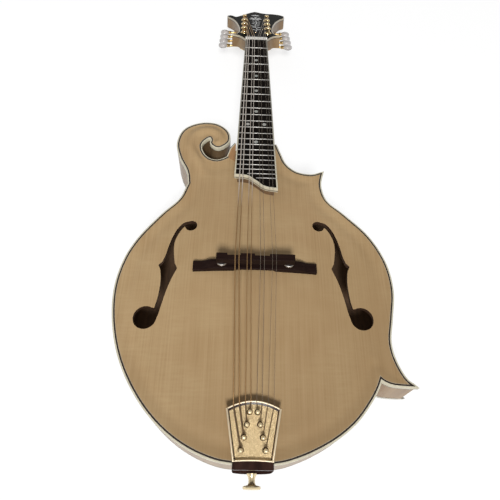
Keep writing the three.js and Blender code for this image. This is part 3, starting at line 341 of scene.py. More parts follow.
def tube(points, radius, sides=8):
    """A round tube along points. The radius may be a list."""
    points = [Vector(p) for p in points]
    radii = radius if isinstance(radius, list) else [radius] * len(points)
    across = Vector((0, 0, 1))
    rings = []
    for i, point in enumerate(points):
        along = (points[min(i + 1, len(points) - 1)] - points[max(i - 1, 0)]).normalized()
        if abs(along.dot(across)) > 0.98:
            across = Vector((1, 0, 0))
        across = (across - along * across.dot(along)).normalized()
        third = along.cross(across)
        rings.append([point + (across * c + third * s) * radii[i] for c, s in circle(1, sides)])
    return loft(rings)


def run_lengths(points):
    runs = [0]
    for a, b in zip(points, points[1:]):
        runs.append(runs[-1] + math.dist(a, b))
    return runs


def strip(path, profile):
    """A bar that follows a path, with a closed section of (distance to the left, height) pairs."""
    lines = [offset(path, distance, closed=False) for distance, _ in profile]
    return loft([[(*line[i], z) for line, (_, z) in zip(lines, profile)] for i in range(len(path))])


def bar(near, far, low, high):
    """The section of a square bar, for a strip."""
    return [(near, low), (near, high), (far, high), (far, low)]


def across_bar(section, half_depth):
    """A bar with an X and Z section, along Y."""
    vertices, faces = prism(section, -half_depth, half_depth)
    upright = Matrix.Rotation(quarter, 4, "X")
    return [tuple(upright @ Vector(v)) for v in vertices], faces


# Pieces
def settle(made, body=None, stands_for=None):
    scene.collection.objects.link(made)
    if body:
        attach(made, body)
    if stands_for:
        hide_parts(stands_for)
    return made


def piece(name, shape, matrix, look, body="root", stands_for=None, slot=None, sharp=38, uv=None, lining=None,
          lined_faces=()):
    """A mesh of a shape in one of the frames. Some of its faces may have a second look, the lining."""
    vertices, faces = shape
    mesh = bpy.data.meshes.new(name)
    mesh.from_pydata([matrix @ Vector(v) for v in vertices], [], faces)
    mesh.materials.append(look)
    if lining:
        mesh.materials.append(lining)
    for index in lined_faces:
        mesh.polygons[index].material_index = 1
    if uv:
        layer = mesh.uv_layers.new(name="run")
        for loop in mesh.loops:
            layer.data[loop.index].uv = uv[loop.vertex_index]
    solid = bmesh.new()
    solid.from_mesh(mesh)
    bmesh.ops.recalc_face_normals(solid, faces=solid.faces)
    solid.to_mesh(mesh)
    solid.free()
    mesh.shade_smooth()
    mesh.set_sharp_from_angle(angle=math.radians(sharp))
    return settle(bpy.data.objects.new(name, mesh), body, stands_for)


def edging(name, path, profile, matrix, look, **settings):
    """A strip as a piece, with a map of its run along the path in metres."""
    uv = [(run * millimetre, z * millimetre) for run in run_lengths(path) for _, z in profile]
    return piece(name, strip(path, profile), matrix, look, uv=uv, **settings)


def bevel(made, width, segments=2):
    modifier = made.modifiers.new("edges", "BEVEL")
    modifier.width = width * millimetre
    modifier.segments = segments
    modifier.limit_method = "ANGLE"
    modifier.angle_limit = math.radians(35)
    modifier.harden_normals = False


def screws(name, places, matrix, look, up=1, radius=1.3, body="root"):
    """Domed screw heads with cross slots and their shanks, as one piece, and their slots as another, as dark
    crosses of painted shade.
    """
    heads, slot_shades = [], []
    for number, (x, y, z) in enumerate(places):
        profile = [(0, -2), (0.5, -2), (0.5, 0), (1, 0.05), (0.9, 0.35), (0.5, 0.55), (0, 0.6)]
        heads.append(turned([(radius * share, z + up * height) for share, height in profile], 20, (x, y)))
        # Painted shade: each slot is a dark solid in the head
        low, high = sorted((z + up * 0.3, z + up * 0.62))
        arm, half = radius * 0.6, 0.13
        for turn in (0, quarter):
            cross = [(-arm, -half), (arm, -half), (arm, half), (-arm, half)]
            slot_shades.append(prism(moved(cross, 0.4 + 0.7 * number + turn, (x, y)), low, high))
    piece(f"{name}_screws", merged(heads), matrix, look, body)
    piece(f"{name}_screw_slot_shade", merged(slot_shades), matrix, line_look, body)


# Materials
class Nodes:
    """Short calls for the nodes of a material or a world."""

    def __init__(self, owner):
        owner.use_nodes = True
        self.tree = owner.node_tree

    def feed(self, socket, value):
        if isinstance(value, bpy.types.NodeSocket):
            self.tree.links.new(value, socket)
        else:
            socket.default_value = value

    def node(self, kind, inputs=None, **settings):
        made = self.tree.nodes.new(kind)
        for key, value in settings.items():
            setattr(made, key, value)
        for key, value in (inputs or {}).items():
            self.feed(made.inputs[key], value)
        return made

    def where(self, source="Object"):
        return self.node("ShaderNodeTexCoord").outputs[source]

    def place(self, stretch=(1, 1, 1), source="Object"):
        return self.stretched(self.where(source), stretch)

    def stretched(self, vector, stretch):
        return self.node("ShaderNodeMapping", {"Vector": vector, "Scale": stretch}).outputs["Vector"]

    def axis(self, name, source="Object"):
        return self.node("ShaderNodeSeparateXYZ", {"Vector": self.where(source)}).outputs[name]

    def noise(self, where, scale, detail, roughness, distortion=0):
        """Noise at a vector, or at the object's own coordinates with the given stretch."""
        vector = self.place(where) if isinstance(where, tuple) else where
        inputs = {"Vector": vector, "Scale": scale, "Detail": detail, "Roughness": roughness}
        return self.node("ShaderNodeTexNoise", {**inputs, "Distortion": distortion}).outputs["Fac"]

    def ramp(self, factor, *stops):
        made = self.node("ShaderNodeValToRGB", {"Fac": factor})
        elements = made.color_ramp.elements
        while len(elements) < len(stops):
            elements.new(0.5)
        for element, (position, colour) in zip(elements, stops):
            element.position = position
            element.color = (*colour, 1)
        return made.outputs["Color"]

    def mix(self, factor, first, second, kind="MIX"):
        made = self.node("ShaderNodeMix", data_type="RGBA", blend_type=kind)
        for index, value in ((0, factor), (6, first), (7, second)):
            self.feed(made.inputs[index], (*value, 1) if isinstance(value, tuple) else value)
        return made.outputs[2]

    def tint(self, base, colour, pattern, *spread):
        return self.mix(self.range(pattern, *spread), base, colour)

    def math(self, kind, first, second=0.0):
        return self.node("ShaderNodeMath", {0: first, 1: second}, operation=kind).outputs[0]

    def range(self, value, low, high, start=0.0, end=1.0):
        """From low to high while the value goes from start to end."""
        inputs = {"Value": value, "To Min": low, "To Max": high, "From Min": start, "From Max": end}
        return self.node("ShaderNodeMapRange", inputs).outputs["Result"]

    def backdrop_rays(self):
        """One for the rays that show the backdrop: from the camera, off a gloss or through glass."""
        rays = self.node("ShaderNodeLightPath").outputs
        either = self.math("MAXIMUM", rays["Is Camera Ray"], rays["Is Glossy Ray"])
        return self.math("MAXIMUM", either, rays["Is Transmission Ray"])


class Look(Nodes):
    """A principled material."""

    def __init__(self, name, **values):
        self.material = bpy.data.materials.new(name)
        super().__init__(self.material)
        self.shader = self.tree.nodes["Principled BSDF"]
        for key, value in values.items():
            self.shader.inputs[key.replace("_", " ")].default_value = value

    def finish(self, colour, rough, bump):
        """Its colour, its roughness as (pattern, low, high) and its bumps as (pattern, strength, depth)."""
        pattern, strength, depth = bump
        relief = self.node("ShaderNodeBump", {"Height": pattern, "Strength": strength, "Distance": depth})
        self.feed(self.shader.inputs["Base Color"], colour)
        self.feed(self.shader.inputs["Roughness"], self.range(*rough))
        self.feed(self.shader.inputs["Normal"], relief.outputs["Normal"])
        return self.material


def shade(colour, factor):
    return tuple(c * factor for c in colour)


def spruce(name):
    """Fine grain that is mirrored at the centre line, silk across it, and painted shade that darkens it
    towards the treble side of the tail.
    """
    look = Look(name, Coat_Weight=0.1, Coat_Roughness=0.2, IOR=1.5, Specular_IOR_Level=0.15)
    x, y = look.axis("X"), look.axis("Y")
    halved = look.node("ShaderNodeCombineXYZ", {"X": look.math("ABSOLUTE", x), "Y": y}).outputs["Vector"]
    lines = look.stretched(halved, (1, 0.012, 1))
    fine = look.noise(lines, 760, 3, 0.6)
    silk = look.range(look.noise((0.14, 1, 0.14), 430, 3, 0.55), 0.0, 0.75)
    patch = look.range(look.noise((1, 1, 1), 24, 2, 0.5), -0.9, 2.1)
    painted_shade_slant = look.math("SUBTRACT", look.math("MULTIPLY", x, 0.6), y)
    wood = look.ramp(
        fine, (0.3, (0.355, 0.232, 0.112)), (0.5, (0.425, 0.287, 0.145)), (0.7, (0.475, 0.330, 0.178)))
    wood = look.tint(wood, (0.36, 0.222, 0.10), look.noise(lines, 80, 3, 0.5), 0, 0.2)
    wood = look.tint(wood, (0.47, 0.30, 0.165), look.noise((1, 1, 1), 13, 3, 0.5), -0.1, 0.4)
    wood = look.mix(look.math("MULTIPLY", silk, patch), wood, (0.54, 0.395, 0.215))
    wood = look.tint(wood, (0.35, 0.225, 0.108), look.noise((1, 0.05, 1), 30, 2, 0.4), -0.12, 0.45)
    # Painted shade: darker towards the treble side of the tail
    wood = look.tint(wood, (0.20, 0.125, 0.055), painted_shade_slant, 0.0, 0.42, -0.05, 0.14)
    return look.finish(wood, (fine, 0.36, 0.46), (fine, 0.1, 0.0001))


def maple(name, along, source="Object", flame=(1, 1, 1), tone=1.0, painted_shade_middle=None):
    """Fine pores along the grain and bands of flame across it. Round the middle of a slot it has painted
    shade.
    """
    look = Look(name, Coat_Weight=0.12, Coat_Roughness=0.15, IOR=1.5, Specular_IOR_Level=0.2)
    grain = look.noise(look.place(along, source), 500, 3, 0.6)
    bands = look.noise(look.place(flame, source), 95, 2, 0.45, 0.6)
    stops = ((0.36, (0.27, 0.165, 0.080)), (0.5, (0.36, 0.235, 0.122)), (0.66, (0.43, 0.300, 0.170)))
    wood = look.ramp(bands, *((position, shade(colour, tone)) for position, colour in stops))
    soft = look.noise(look.place(source=source), 18, 3, 0.5)
    wood = look.tint(wood, shade((0.30, 0.180, 0.090), tone), soft, 0, 0.35)
    wood = look.tint(wood, shade((0.22, 0.130, 0.060), tone), grain, 0, 0.3)
    # Painted shade, darkest round the middle of the slot
    if painted_shade_middle:
        ends = {0: look.place((1, 1, 0)), 1: painted_shade_middle}
        away = look.node("ShaderNodeVectorMath", ends, operation="DISTANCE").outputs["Value"]
        wood = look.tint(wood, (0.045, 0.026, 0.012), away, 0.62, 0.0, 0.024, 0.033)
    return look.finish(wood, (bands, 0.3, 0.42), (grain, 0.08, 0.0001))


def plain_wood(name, colour, along, roughness=0.75):
    look = Look(name)
    grain = look.noise(along, 420, 4, 0.6)
    wood = look.ramp(grain, (0.3, shade(colour, 0.6)), (0.62, colour))
    return look.finish(wood, (grain, roughness - 0.08, roughness + 0.08), (grain, 0.25, 0.0002))


def ebony(name, along, roughness, specular, depth, warmth):
    """Near black wood. Warmth takes green and blue out of it."""
    look = Look(name, IOR=1.5, Specular_IOR_Level=specular)
    grain, streak = look.noise(along, 700, 4, 0.65), look.noise(along, 120, 3, 0.5)
    colours = ((0.006, 0.005, 0.0045), (0.021, 0.0165, 0.0135), (0.03, 0.021, 0.016))
    low, high, pale = ((r * depth, g * depth / warmth, b * depth / warmth) for r, g, b in colours)
    wood = look.tint(look.ramp(grain, (0.35, low), (0.7, high)), pale, streak, 0, 0.5)
    return look.finish(wood, (grain, roughness - 0.08, roughness + 0.1), (grain, 0.3, 0.00015))


def ivory(name, colour, roughness=0.32, nut_end_tone=None):
    """A pale cloudy solid. Given a tone for the nut's end, it darkens along the neck from the body to the
    nut.
    """
    look = Look(name, IOR=1.5, Coat_Weight=0.2, Coat_Roughness=0.12, Specular_IOR_Level=0.35)
    cloud = look.noise((1, 0.2, 1), 260, 4, 0.6)
    base = look.ramp(cloud, (0.3, shade(colour, 0.86)), (0.65, colour))
    if nut_end_tone:
        base = look.tint(base, nut_end_tone, look.axis("Y"), 0.0, 1.0, 0.16, 0.24)
    return look.finish(base, (cloud, roughness - 0.06, roughness + 0.08), (cloud, 0.06, 0.0001))


def metal(name, colour, roughness, stretch=(1, 1, 1), metallic=1.0):
    look = Look(name, Metallic=metallic)
    cloud = look.noise(stretch, 350, 4, 0.6)
    base = look.ramp(look.noise((1, 1, 1), 40, 3, 0.5), (0.3, shade(colour, 0.82)), (0.6, colour))
    return look.finish(base, (cloud, roughness - 0.08, roughness + 0.08), (cloud, 0.05, 0.0001))


def cast_gold(name):
    """The grainy floor of the casting, stained between its grains."""
    look = Look(name, Metallic=1.0)
    grains = look.node("ShaderNodeTexVoronoi", {"Vector": look.place(), "Scale": 2200.0}).outputs["Distance"]
    base = look.ramp(grains, (0.1, (0.42, 0.30, 0.15)), (0.7, (0.92, 0.74, 0.45)))
    base = look.tint(base, (0.54, 0.39, 0.20), look.noise((1, 1, 1), 420, 4, 0.7), -0.3, 0.75)
    return look.finish(base, (look.noise((1, 1, 1), 900, 3, 0.6), 0.42, 0.62), (grains, 0.7, 0.0004))


def dark_reflection_and_shade(name, specular=0.12):
    """Polished colour so dark that it shows little but its highlights. On the tail's cap and plate it is a
    painted dark reflection of the room on their gold; in the tray it paints shade.
    """
    look = Look(name, IOR=1.5, Specular_IOR_Level=specular)
    cloud = look.noise((1, 0.3, 0.3), 110, 4, 0.6)
    base = look.ramp(cloud, (0.35, (0.018, 0.009, 0.007)), (0.7, (0.05, 0.023, 0.017)))
    return look.finish(base, (cloud, 0.16, 0.3), (cloud, 0.04, 0.0002))


def lacquer(name):
    look = Look(name, IOR=1.5, Specular_IOR_Level=0.002)
    cloud, fine = look.noise((1, 1, 1), 60, 4, 0.6), look.noise((1, 0.1, 1), 900, 3, 0.5)
    base = look.ramp(cloud, (0.3, (0.010, 0.0105, 0.009)), (0.7, (0.019, 0.019, 0.016)))
    return look.finish(base, (fine, 0.2, 0.3), (fine, 0.03, 0.0001))


def pearl(name, low, middle, high, scale=240):
    look = Look(name, Coat_Weight=0.6, Coat_Roughness=0.06, IOR=1.53)
    cloud, fine = look.noise((1, 1, 1), scale, 5, 0.6, 1.2), look.noise((1, 0.3, 1), scale * 6, 3, 0.6)
    base = look.ramp(look.mix(0.25, cloud, fine), (0.35, low), (0.5, middle), (0.66, high))
    return look.finish(base, (fine, 0.16, 0.32), (cloud, 0.05, 0.0001))


def wound(name, colour, painted_reflection_colour, pitch):
    """Round wire wound on a core, with ridges along the string. From the end of the fingerboard to the nut it
    has a painted reflection, a paler colour.
    """
    look = Look(name, Metallic=0.7, Specular_IOR_Level=0.3)
    turn = look.math("MULTIPLY", look.axis("X", "UV"), math.pi / pitch)
    ridge = look.math("ABSOLUTE", look.math("SINE", turn))
    cloud = look.noise((1, 1, 1), 500, 3, 0.5)
    y, nut_end = look.axis("Y"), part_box("nut")[1][1]
    beyond = look.range(y, 0.0, 1.0, nut_end, nut_end + 0.004)
    # Painted reflection: paler over the fingerboard, up to the nut
    painted_reflection_mask = look.math("SUBTRACT", look.range(y, 0.0, 1.0, 0.095, 0.125), beyond)
    bright = look.mix(painted_reflection_mask, colour, painted_reflection_colour)
    dark = look.mix(1.0, bright, (0.72, 0.72, 0.72), kind="MULTIPLY")
    # Painted shade: the colour is darker in the grooves between the turns
    base = look.mix(look.ramp(ridge, (0.0, (0, 0, 0)), (0.5, (1, 1, 1))), dark, bright)
    return look.finish(look.tint(base, dark, cloud, 0, 0.3), (cloud, 0.4, 0.52), (ridge, 0.4, 0.0001))


lengthwise, crosswise = (1, 0.06, 1), (0.3, 12, 1)
# The middle of the scroll's slot, round which the block's maple has painted shade
slot_x, slot_y, _ = RIM @ Vector((-46.4, 144.2, -4.5))
spruce_look = spruce("spruce_gloss")
side_look = maple("maple_sides", crosswise, "UV", (1, 0.12, 1))
scroll_look = maple("maple_scroll", crosswise, "UV", (1, 0.12, 1), painted_shade_middle=(slot_x, slot_y, 0))
back_look = maple("maple_back", lengthwise, flame=(0.12, 1, 1))
neck_look = maple("maple_neck", lengthwise, flame=(0.15, 1, 0.15), tone=0.87)
inner_look = plain_wood("inner_wood", (0.30, 0.20, 0.11), (1, 0.08, 1))
# Painted shade: the back's lining, the tone bars, the back's inside, and the top's underside and hole walls
# are far darker than raw wood
inside_shade_look = plain_wood("inside_painted_shade", (0.055, 0.031, 0.015), (1, 0.08, 1))
back_inside_shade_look = plain_wood("inside_of_the_back_painted_shade", (0.085, 0.046, 0.022), (1, 0.08, 1))
underside_shade_look = plain_wood("hole_edge", (0.045, 0.02, 0.009), (1, 0.2, 1), 0.6)
riser_look = plain_wood("riser_wood", (0.17, 0.10, 0.05), (0.05, 1, 1), 0.5)
cheek_look = plain_wood("neck_cheek", (0.46, 0.25, 0.11), (1, 0.1, 1), 0.4)
line_look = plain_wood("dark_line", (0.03, 0.02, 0.014), (1, 1, 1), 0.4)
pale_line_look = ivory("pale_line", (0.50, 0.41, 0.29), 0.38)
binding_look = ivory("ivory_binding", (0.64, 0.59, 0.45))
board_binding_look = ivory("fingerboard_ivory", (0.64, 0.59, 0.45), nut_end_tone=(0.24, 0.225, 0.185))
head_binding_look = ivory("headstock_ivory", (0.55, 0.47, 0.34))
bone_look = ivory("bone", (0.84, 0.81, 0.75), 0.3)
ebony_look = ebony("ebony", (1, 0.03, 1), 0.42, specular=0.02, depth=0.42, warmth=1.0)
bridge_look = ebony("ebony_bridge", (0.05, 1, 1), 0.38, specular=0.04, depth=1.0, warmth=1.5)
lacquer_look = lacquer("black_gloss")
button_look = pearl("pearl_button", (0.42, 0.39, 0.37), (0.54, 0.505, 0.485), (0.66, 0.62, 0.60), 160)
inlay_look = pearl("pearl_inlay", (0.22, 0.26, 0.24), (0.37, 0.36, 0.33), (0.54, 0.52, 0.49))
head_inlay_look = pearl("headstock_pearl", (0.08, 0.095, 0.088), (0.15, 0.147, 0.135), (0.26, 0.25, 0.235))
gold_look = metal("gold_plate", (0.80, 0.60, 0.31), 0.16)
rim_look = metal("bright_gold_rim", (0.95, 0.80, 0.56), 0.4, metallic=0.55)
ball_look = metal("bright_gold_ball", (0.95, 0.78, 0.48), 0.25, metallic=0.6)
plate_gold_look = metal("brushed_gold", (0.42, 0.29, 0.12), 0.42, (1, 0.05, 1))
shaft_look = metal("shaft_gold", (0.50, 0.34, 0.14), 0.3)
cast_look = cast_gold("cast_gold_floor")
# Painted dark reflection: the cap, plate and screws at the tail are coloured near black for the dark room
# that their gold reflects
dark_reflection_and_shade_look = dark_reflection_and_shade("painted_dark_reflection_and_shade")
end_plate_look = dark_reflection_and_shade("end_plate_painted_dark_reflection", 0.0)
nickel_look = metal("nickel", (0.42, 0.40, 0.375), 0.45)
fret_look = metal("fret_wire", (0.50, 0.48, 0.45), 0.45)
steel_look = metal("bare_steel", (0.46, 0.46, 0.47), 0.38)
wound_look = wound("wound_bronze", (0.42, 0.25, 0.11), (0.86, 0.77, 0.68), 0.00032)
plain_look = metal("plain_wire", (0.45, 0.38, 0.30), 0.24, (1, 0.02, 1))
# Painted dark reflection: the loops and twists are darker than the strings' own metal
loop_look = metal("loop_wire", (0.30, 0.21, 0.13), 0.36, (1, 0.02, 1))

# Plates. On the rim's path a positive distance leads outwards.
arch_width, arch_length, arch_centre = 244, 308, -10
top_arch, back_arch, side_depth, plate_edge = 11.5, 10.5, 44.5, 4.5
plate_thinning, least_plate = 0.5, 2.6
channel_middle, channel_reach = 9, 5.5
scroll_start, scroll_blend, ridge_height, ridge_reach = 112, 25, 2.6, 4.2
plate_line = offset(body_line, -1.4)
scroll_ridge = spline(on_body([
    (-0.214, 0.30), (-0.222, 0.345), (-0.252, 0.395), (-0.278, 0.44), (-0.262, 0.485), (-0.215, 0.503),
    (-0.17, 0.494), (-0.15, 0.468), (-0.158, 0.452),
]))


def arch_at(x, y, height):
    left = np.maximum(1 - (2 * x / arch_width) ** 2 - (2 * (y - arch_centre) / arch_length) ** 2, 0)
    return height * left**2


def channel(edge, depth):
    """The hollow that runs round a plate near its edge."""
    return -depth * np.exp(-(((edge - channel_middle) / channel_reach) ** 2)) * np.clip(edge / 3, 0, 1)


def top_height(points, edge):
    x, y = points[:, 0], points[:, 1]
    in_scroll = np.clip((y - scroll_start) / scroll_blend, 0, 1) * (x < -20)
    along_ridge = np.exp(-((clearance(points, scroll_ridge, closed=False) / ridge_reach) ** 2))
    ridge = ridge_height * along_ridge * np.clip(edge / 4, 0, 1)
    height = arch_at(x, y, top_arch) + channel(edge, 0.9) * (1 - in_scroll) + ridge * in_scroll
    return height - 0.35 * in_scroll * np.clip(edge / 2, 0, 1)


def back_height(points, edge):
    x, y = points[:, 0], points[:, 1]
    return arch_at(x, y, back_arch) + channel(edge, 0.7) * (y < 115)


def hole_line(side):
    """An f-hole's outline: the stem outside its eye and its circle, and an arc round each, clockwise."""
    line = join(*[spline(on_body(part), 5) if len(part) > 1 else on_body(part) for part in hole_shares])
    for share, radius in (hole_eye, hole_circle):
        (centre,) = on_body([share])
        far = [math.dist(p, centre) > radius + circle_margin for p in line]
        last_far = next(i for i in range(len(line)) if far[i] and not far[(i + 1) % len(line)])
        line = line[last_far + 1 :] + line[: last_far + 1]
        kept = [p for p in line if math.dist(p, centre) > radius + circle_margin]
        entry, leaving = (math.atan2(p[1] - centre[1], p[0] - centre[0]) for p in (kept[-1], kept[0]))
        sweep = (entry - leaving) % math.tau
        steps = int(sweep / math.tau * 40)
        line = kept + [polar(radius, entry - sweep * k / steps, centre) for k in range(1, steps)]
    return [(x * side, y + hole_stagger * side) for x, y in line]


def plate(name, node, arch, surface, matrix, look, inner_look, slot, holes=()):
    """A plate between its carved outside and a plain arch. Its inside and its holes have their own look, a
    dark colour of painted shade.
    """
    rings = [p for distance in (1.2, 2.6, 4.2) for p in offset(plate_line, -distance)]
    flat, faces = triangulate(plate_line, holes, 3.0, rings)
    edge = clearance(flat, plate_line)
    tops = surface(flat, edge)
    under = arch_at(flat[:, 0], flat[:, 1], arch - plate_thinning) - plate_edge
    lows = np.minimum(under, tops - least_plate)
    shape = slab(flat, faces, tops, lows)
    walls = range(2 * len(faces), len(shape[1]))
    lined = [i for i in walls if edge[shape[1][i][0]] > 0.5] + list(range(len(faces), 2 * len(faces)))
    return piece(name, shape, matrix, look, stands_for=node, slot=slot, sharp=50, lining=inner_look,
                 lined_faces=lined)


BACK = RIM @ Matrix.Translation((0, 0, -side_depth)) @ Matrix.Scale(-1, 4, (0, 0, 1))
plate("carved_top", "soundboard", top_arch, top_height, RIM, spruce_look, underside_shade_look, "spruce_top",
      [hole_line(1), hole_line(-1)])
back = plate("carved_back", "back_plate", back_arch, back_height, BACK, back_look, back_inside_shade_look, "maple_body")
# It rests on a small flat
for vertex in back.data.vertices:
    vertex.co.z = max(vertex.co.z, 0)

# Bindings and the lines beside them, with heights away from the body at the top and at the back
binding_section = [(0.25, -4.5), (0.25, 0), (1.0, 0), (1.4, -0.12), (1.62, -0.45), (1.65, -4.5)]


def rim_edging(name, face, profile, look, **settings):
    level, up = {"top": (0, 1), "back": (-side_depth, -1)}[face]
    section = [(distance, level + up * z) for distance, z in profile]
    edging(f"{name}_of_the_{face}", rim_path, section, RIM, look, **settings)


for face in ("top", "back"):
    rim_edging("binding", face, binding_section, binding_look, stands_for=f"{face}_binding", slot="binding")
for name, face, near, far, low, high, look in (
    ("dark_line", "top", -1.15, 0.25, -1.5, 0.02, line_look),
    ("pale_line", "top", -1.45, -1.15, -1.5, 0.01, pale_line_look),
    ("dark_line", "back", -0.7, 0.25, -1.5, 0.02, line_look),
    ("filler", "back", -1.45, -0.7, -1.5, 0.0, pale_line_look),
    ("side_line", "top", 1.4, 1.66, -5.05, -4.48, line_look),
    ("side_line", "back", 1.4, 1.66, -5.05, -4.48, line_look),
):
    rim_edging(name, face, bar(near, far, low, high), look)

# The cheek of the neck between the scroll and the fingerboard, with its own lines
cheek_edge = on_body([(-0.1162, 0.3946), (-0.104, 0.4256), (-0.0845, 0.4481)])
cheek_corner = on_body([(-0.085, 0.3757)])
piece("neck_cheek", prism(cheek_edge + cheek_corner, -plate_edge, 0.35), RIM, cheek_look)
edging("cheek_pale_line", cheek_edge, bar(0.0, 1.1, -plate_edge, 0.4), RIM, binding_look)
edging("cheek_dark_line", cheek_edge, bar(1.1, 1.7, -plate_edge, 0.4), RIM, line_look)


# Sides: one rib from the tail seam to the scroll, three on the treble side, and the block with the scroll
def nearest(point):
    return min(range(len(rim_path)), key=lambda i: math.dist(rim_path[i], point))


upper_tip, lower_tip, tail_middle = nearest(treble_side[0]), nearest(point_under[0]), nearest(bass_bout[0])
block_x, block_y = 0.125 * body_width, 0.3157 * body_length
upper_start = next(i for i, (x, _) in enumerate(rim_path) if x > block_x)
bass_end = next(i for i, (_, y) in enumerate(rim_path) if i > tail_middle + 19 and y > block_y)
rib_high, rib_low = -plate_edge, plate_edge - side_depth
rib_profile = [(-0.55, rib_high), (1.6, rib_high), (1.6, rib_low), (-0.55, rib_low)]
for place, first, last in (
    ("bass", tail_middle, bass_end), ("upper_treble", upper_start, upper_tip),
    ("middle_treble", upper_tip, lower_tip), ("lower_treble", lower_tip, tail_middle),
):
    edging(f"rib_{place}", rim_path[first : last + 1], rib_profile, RIM, side_look, stands_for=f"{place}_rib",
           slot="maple_body")
block_path = join(rim_path[bass_end:], neck_line[:-1], rim_path[: upper_start + 1])
block_line = offset(block_path, 1.6, closed=False)
block_line += [(block_x, 0.32 * body_length), (-0.22 * body_width, 0.32 * body_length)]
block_line = [p for i, p in enumerate(block_line) if math.dist(p, block_line[i - 1]) > 0.05]
block = prism(block_line, rib_low, rib_high)
runs = {(round(x, 3), round(y, 3)): run for (x, y), run in zip(block_line, run_lengths(block_line))}
uv = [(runs.get((round(x, 3), round(y, 3)), 0) * millimetre, z * millimetre) for x, y, z in block[0]]
piece("scroll_and_head_block", block, RIM, scroll_look, stands_for="head_block", slot="maple_body", uv=uv)


# Kept solids, and the tuner plates as copies with round edges
def dress(thing, look):
    thing.data.materials.clear()
    thing.data.materials.append(look)


for look, names in (
    (inner_look, ("top_lining", "tail_block", "upper_point_block", "lower_point_block")),
    (inside_shade_look, ("back_lining", "bass_tone_bar", "treble_tone_bar")),
    (riser_look, ("extension_riser",)),
    (steel_look, ("truss_rod", "truss_rod_nut")),
):
    for name in names:
        dress(frame["nodes"][name], look)
for name in ("bass_tuner_plate", "treble_tuner_plate"):
    made = bpy.data.objects.new(f"{name}_rounded", frame["nodes"][name].data.copy())
    dress(made, plate_gold_look)
    bevel(settle(made, "root", name), 0.35)

# Fingerboard. On its path a positive distance leads inwards.
board_nut_width, board_end_width, board_thickness, board_binding = 28.8, 44.2, 5, 1.45
board_bass_end, board_treble_end = 0.7088 * scale_length, 0.7597 * scale_length
end_shares = spline([
    (-0.5, 0), (-0.3, 0.02), (-0.19, 0.08), (-0.08, 0.3), (0.03, 0.52), (0.13, 0.76), (0.24, 0.9), (0.5, 1),
], 5)
end_slant = board_treble_end - board_bass_end
board_end = [(x * board_end_width, -(board_bass_end + end_slant * share)) for x, share in end_shares]
board_path = [(-board_nut_width / 2, 0), *board_end, (board_nut_width / 2, 0)]


def board_half(distance):
    return (board_nut_width + (board_end_width - board_nut_width) * distance / board_treble_end) / 2


def fret_at(number):
    return scale_length * (1 - 2 ** (-number / 12))


board_inner = offset([board_path[-1], *board_path[:-1]], board_binding)
board_inner[:2] = [(x, 0) for x, _ in board_inner[:2]]
board = prism(board_inner, -board_thickness, 0)
bevel(piece("fretboard", board, BOARD, ebony_look, stands_for="fingerboard", slot="ebony"), 0.12)
inner_edge, outer_edge = board_binding - 0.02, 0.02
edging("fretboard_binding", board_path, [
    (inner_edge, -board_thickness), (inner_edge, 0.01), (0.4, 0.01), (0.12, -0.1), (outer_edge, -0.4),
    (outer_edge, -3.1), (outer_edge, -board_thickness),
], BOARD, board_binding_look, stands_for="fingerboard_binding", slot="binding")
edging("fretboard_side_line", board_path, bar(0.3, -0.03, -3.9, -3.1), BOARD, line_look)
fret_half_width, fret_height, fret_inset = 0.42, 0.8, 0.35
half_circle = [polar(1, math.pi * k / 8) for k in range(9)]
fret_section = [(fret_half_width * c, fret_height * s) for c, s in half_circle]
short_frets = {21: -0.2, 22: 0.0}
frets = []
for number in range(1, 23):
    distance = fret_at(number)
    half = board_half(distance) - fret_inset
    start = short_frets[number] * board_end_width if number in short_frets else -half
    frets.append(loft([
        [(x, -distance + y, max(z - drop * (z > 0.3), -0.3)) for y, z in fret_section]
        for x, drop in ((start, 0.55), (start + 0.45, 0), (half - 0.45, 0), (half, 0.55))
    ]))
piece("frets", merged(frets), BOARD, fret_look, slot="nickel", sharp=50)
dots, side_dots = [], []
for number in (3, 5, 7, 10, 12, 15):
    middle = -(fret_at(number - 1) + fret_at(number)) / 2
    double = number == 12
    for x in (-9.2, 9.2) if double else (0,):
        dots.append(turned([(0, 0.03), (2.2, 0.03), (2.3, -0.4), (0, -0.4)], 24, (x, middle)))
    for shift in (-2.4, 2.4) if double else (0,):
        edge_x = -board_half(-middle)
        side_dots.append(pin(edge_x - 0.03, edge_x + 0.3, 0.75, 16, (middle + shift, -1.6)))
piece("position_dots", merged(dots), BOARD, inlay_look, slot="pearl_buttons")
piece("side_dots", merged(side_dots), BOARD, line_look)

# Neck, in the rim frame: rings that deepen into the heel
joint_y, neck_clear, heel_depth = 150.0, 0.3, side_depth - 0.3
neck_length = nut_y - joint_y - neck_clear
heel_line = spline([
    (0, 1), (0.025, 0.9), (0.055, 0.62), (0.085, 0.33), (0.12, 0.12), (0.16, 0.02), (0.22, 0), (0.4, 0),
    (0.6, 0), (0.8, 0), (1, 0), (1.03, 0),
], 4)
rings = []
for along, heel in heel_line:
    heel = min(max(heel, 0), 1)
    y = joint_y + neck_clear + neck_length * along
    top = board_rise - y * math.tan(neck_angle) - (board_thickness + 0.02) / math.cos(neck_angle)
    plain = 17.5 - 3.5 * min(along, 1)
    depth = plain + (top + heel_depth - plain) * heel
    half = board_half((nut_y - y) / math.cos(neck_angle)) - 0.03
    power = 1 - 0.4 * heel
    ring = []
    for cosine, sine in (polar(1, math.pi * step / 32) for step in range(33)):
        across = math.copysign(abs(cosine) ** power, cosine)
        down = max(sine, 0) ** power
        ring.append((half * across * (1 - 0.42 * heel * down), y, top - depth * down))
    rings.append(ring)
piece("neck_shaft", loft(rings), RIM, neck_look, stands_for="neck", slot="maple_body", sharp=45)

# Headstock. On its path a negative distance leads inwards.
head_length, head_width, veneer, core_bottom = 157, 90, 2.0, -15.3


def on_head(shares):
    return [(x * head_width, y * head_length) for x, y in shares]


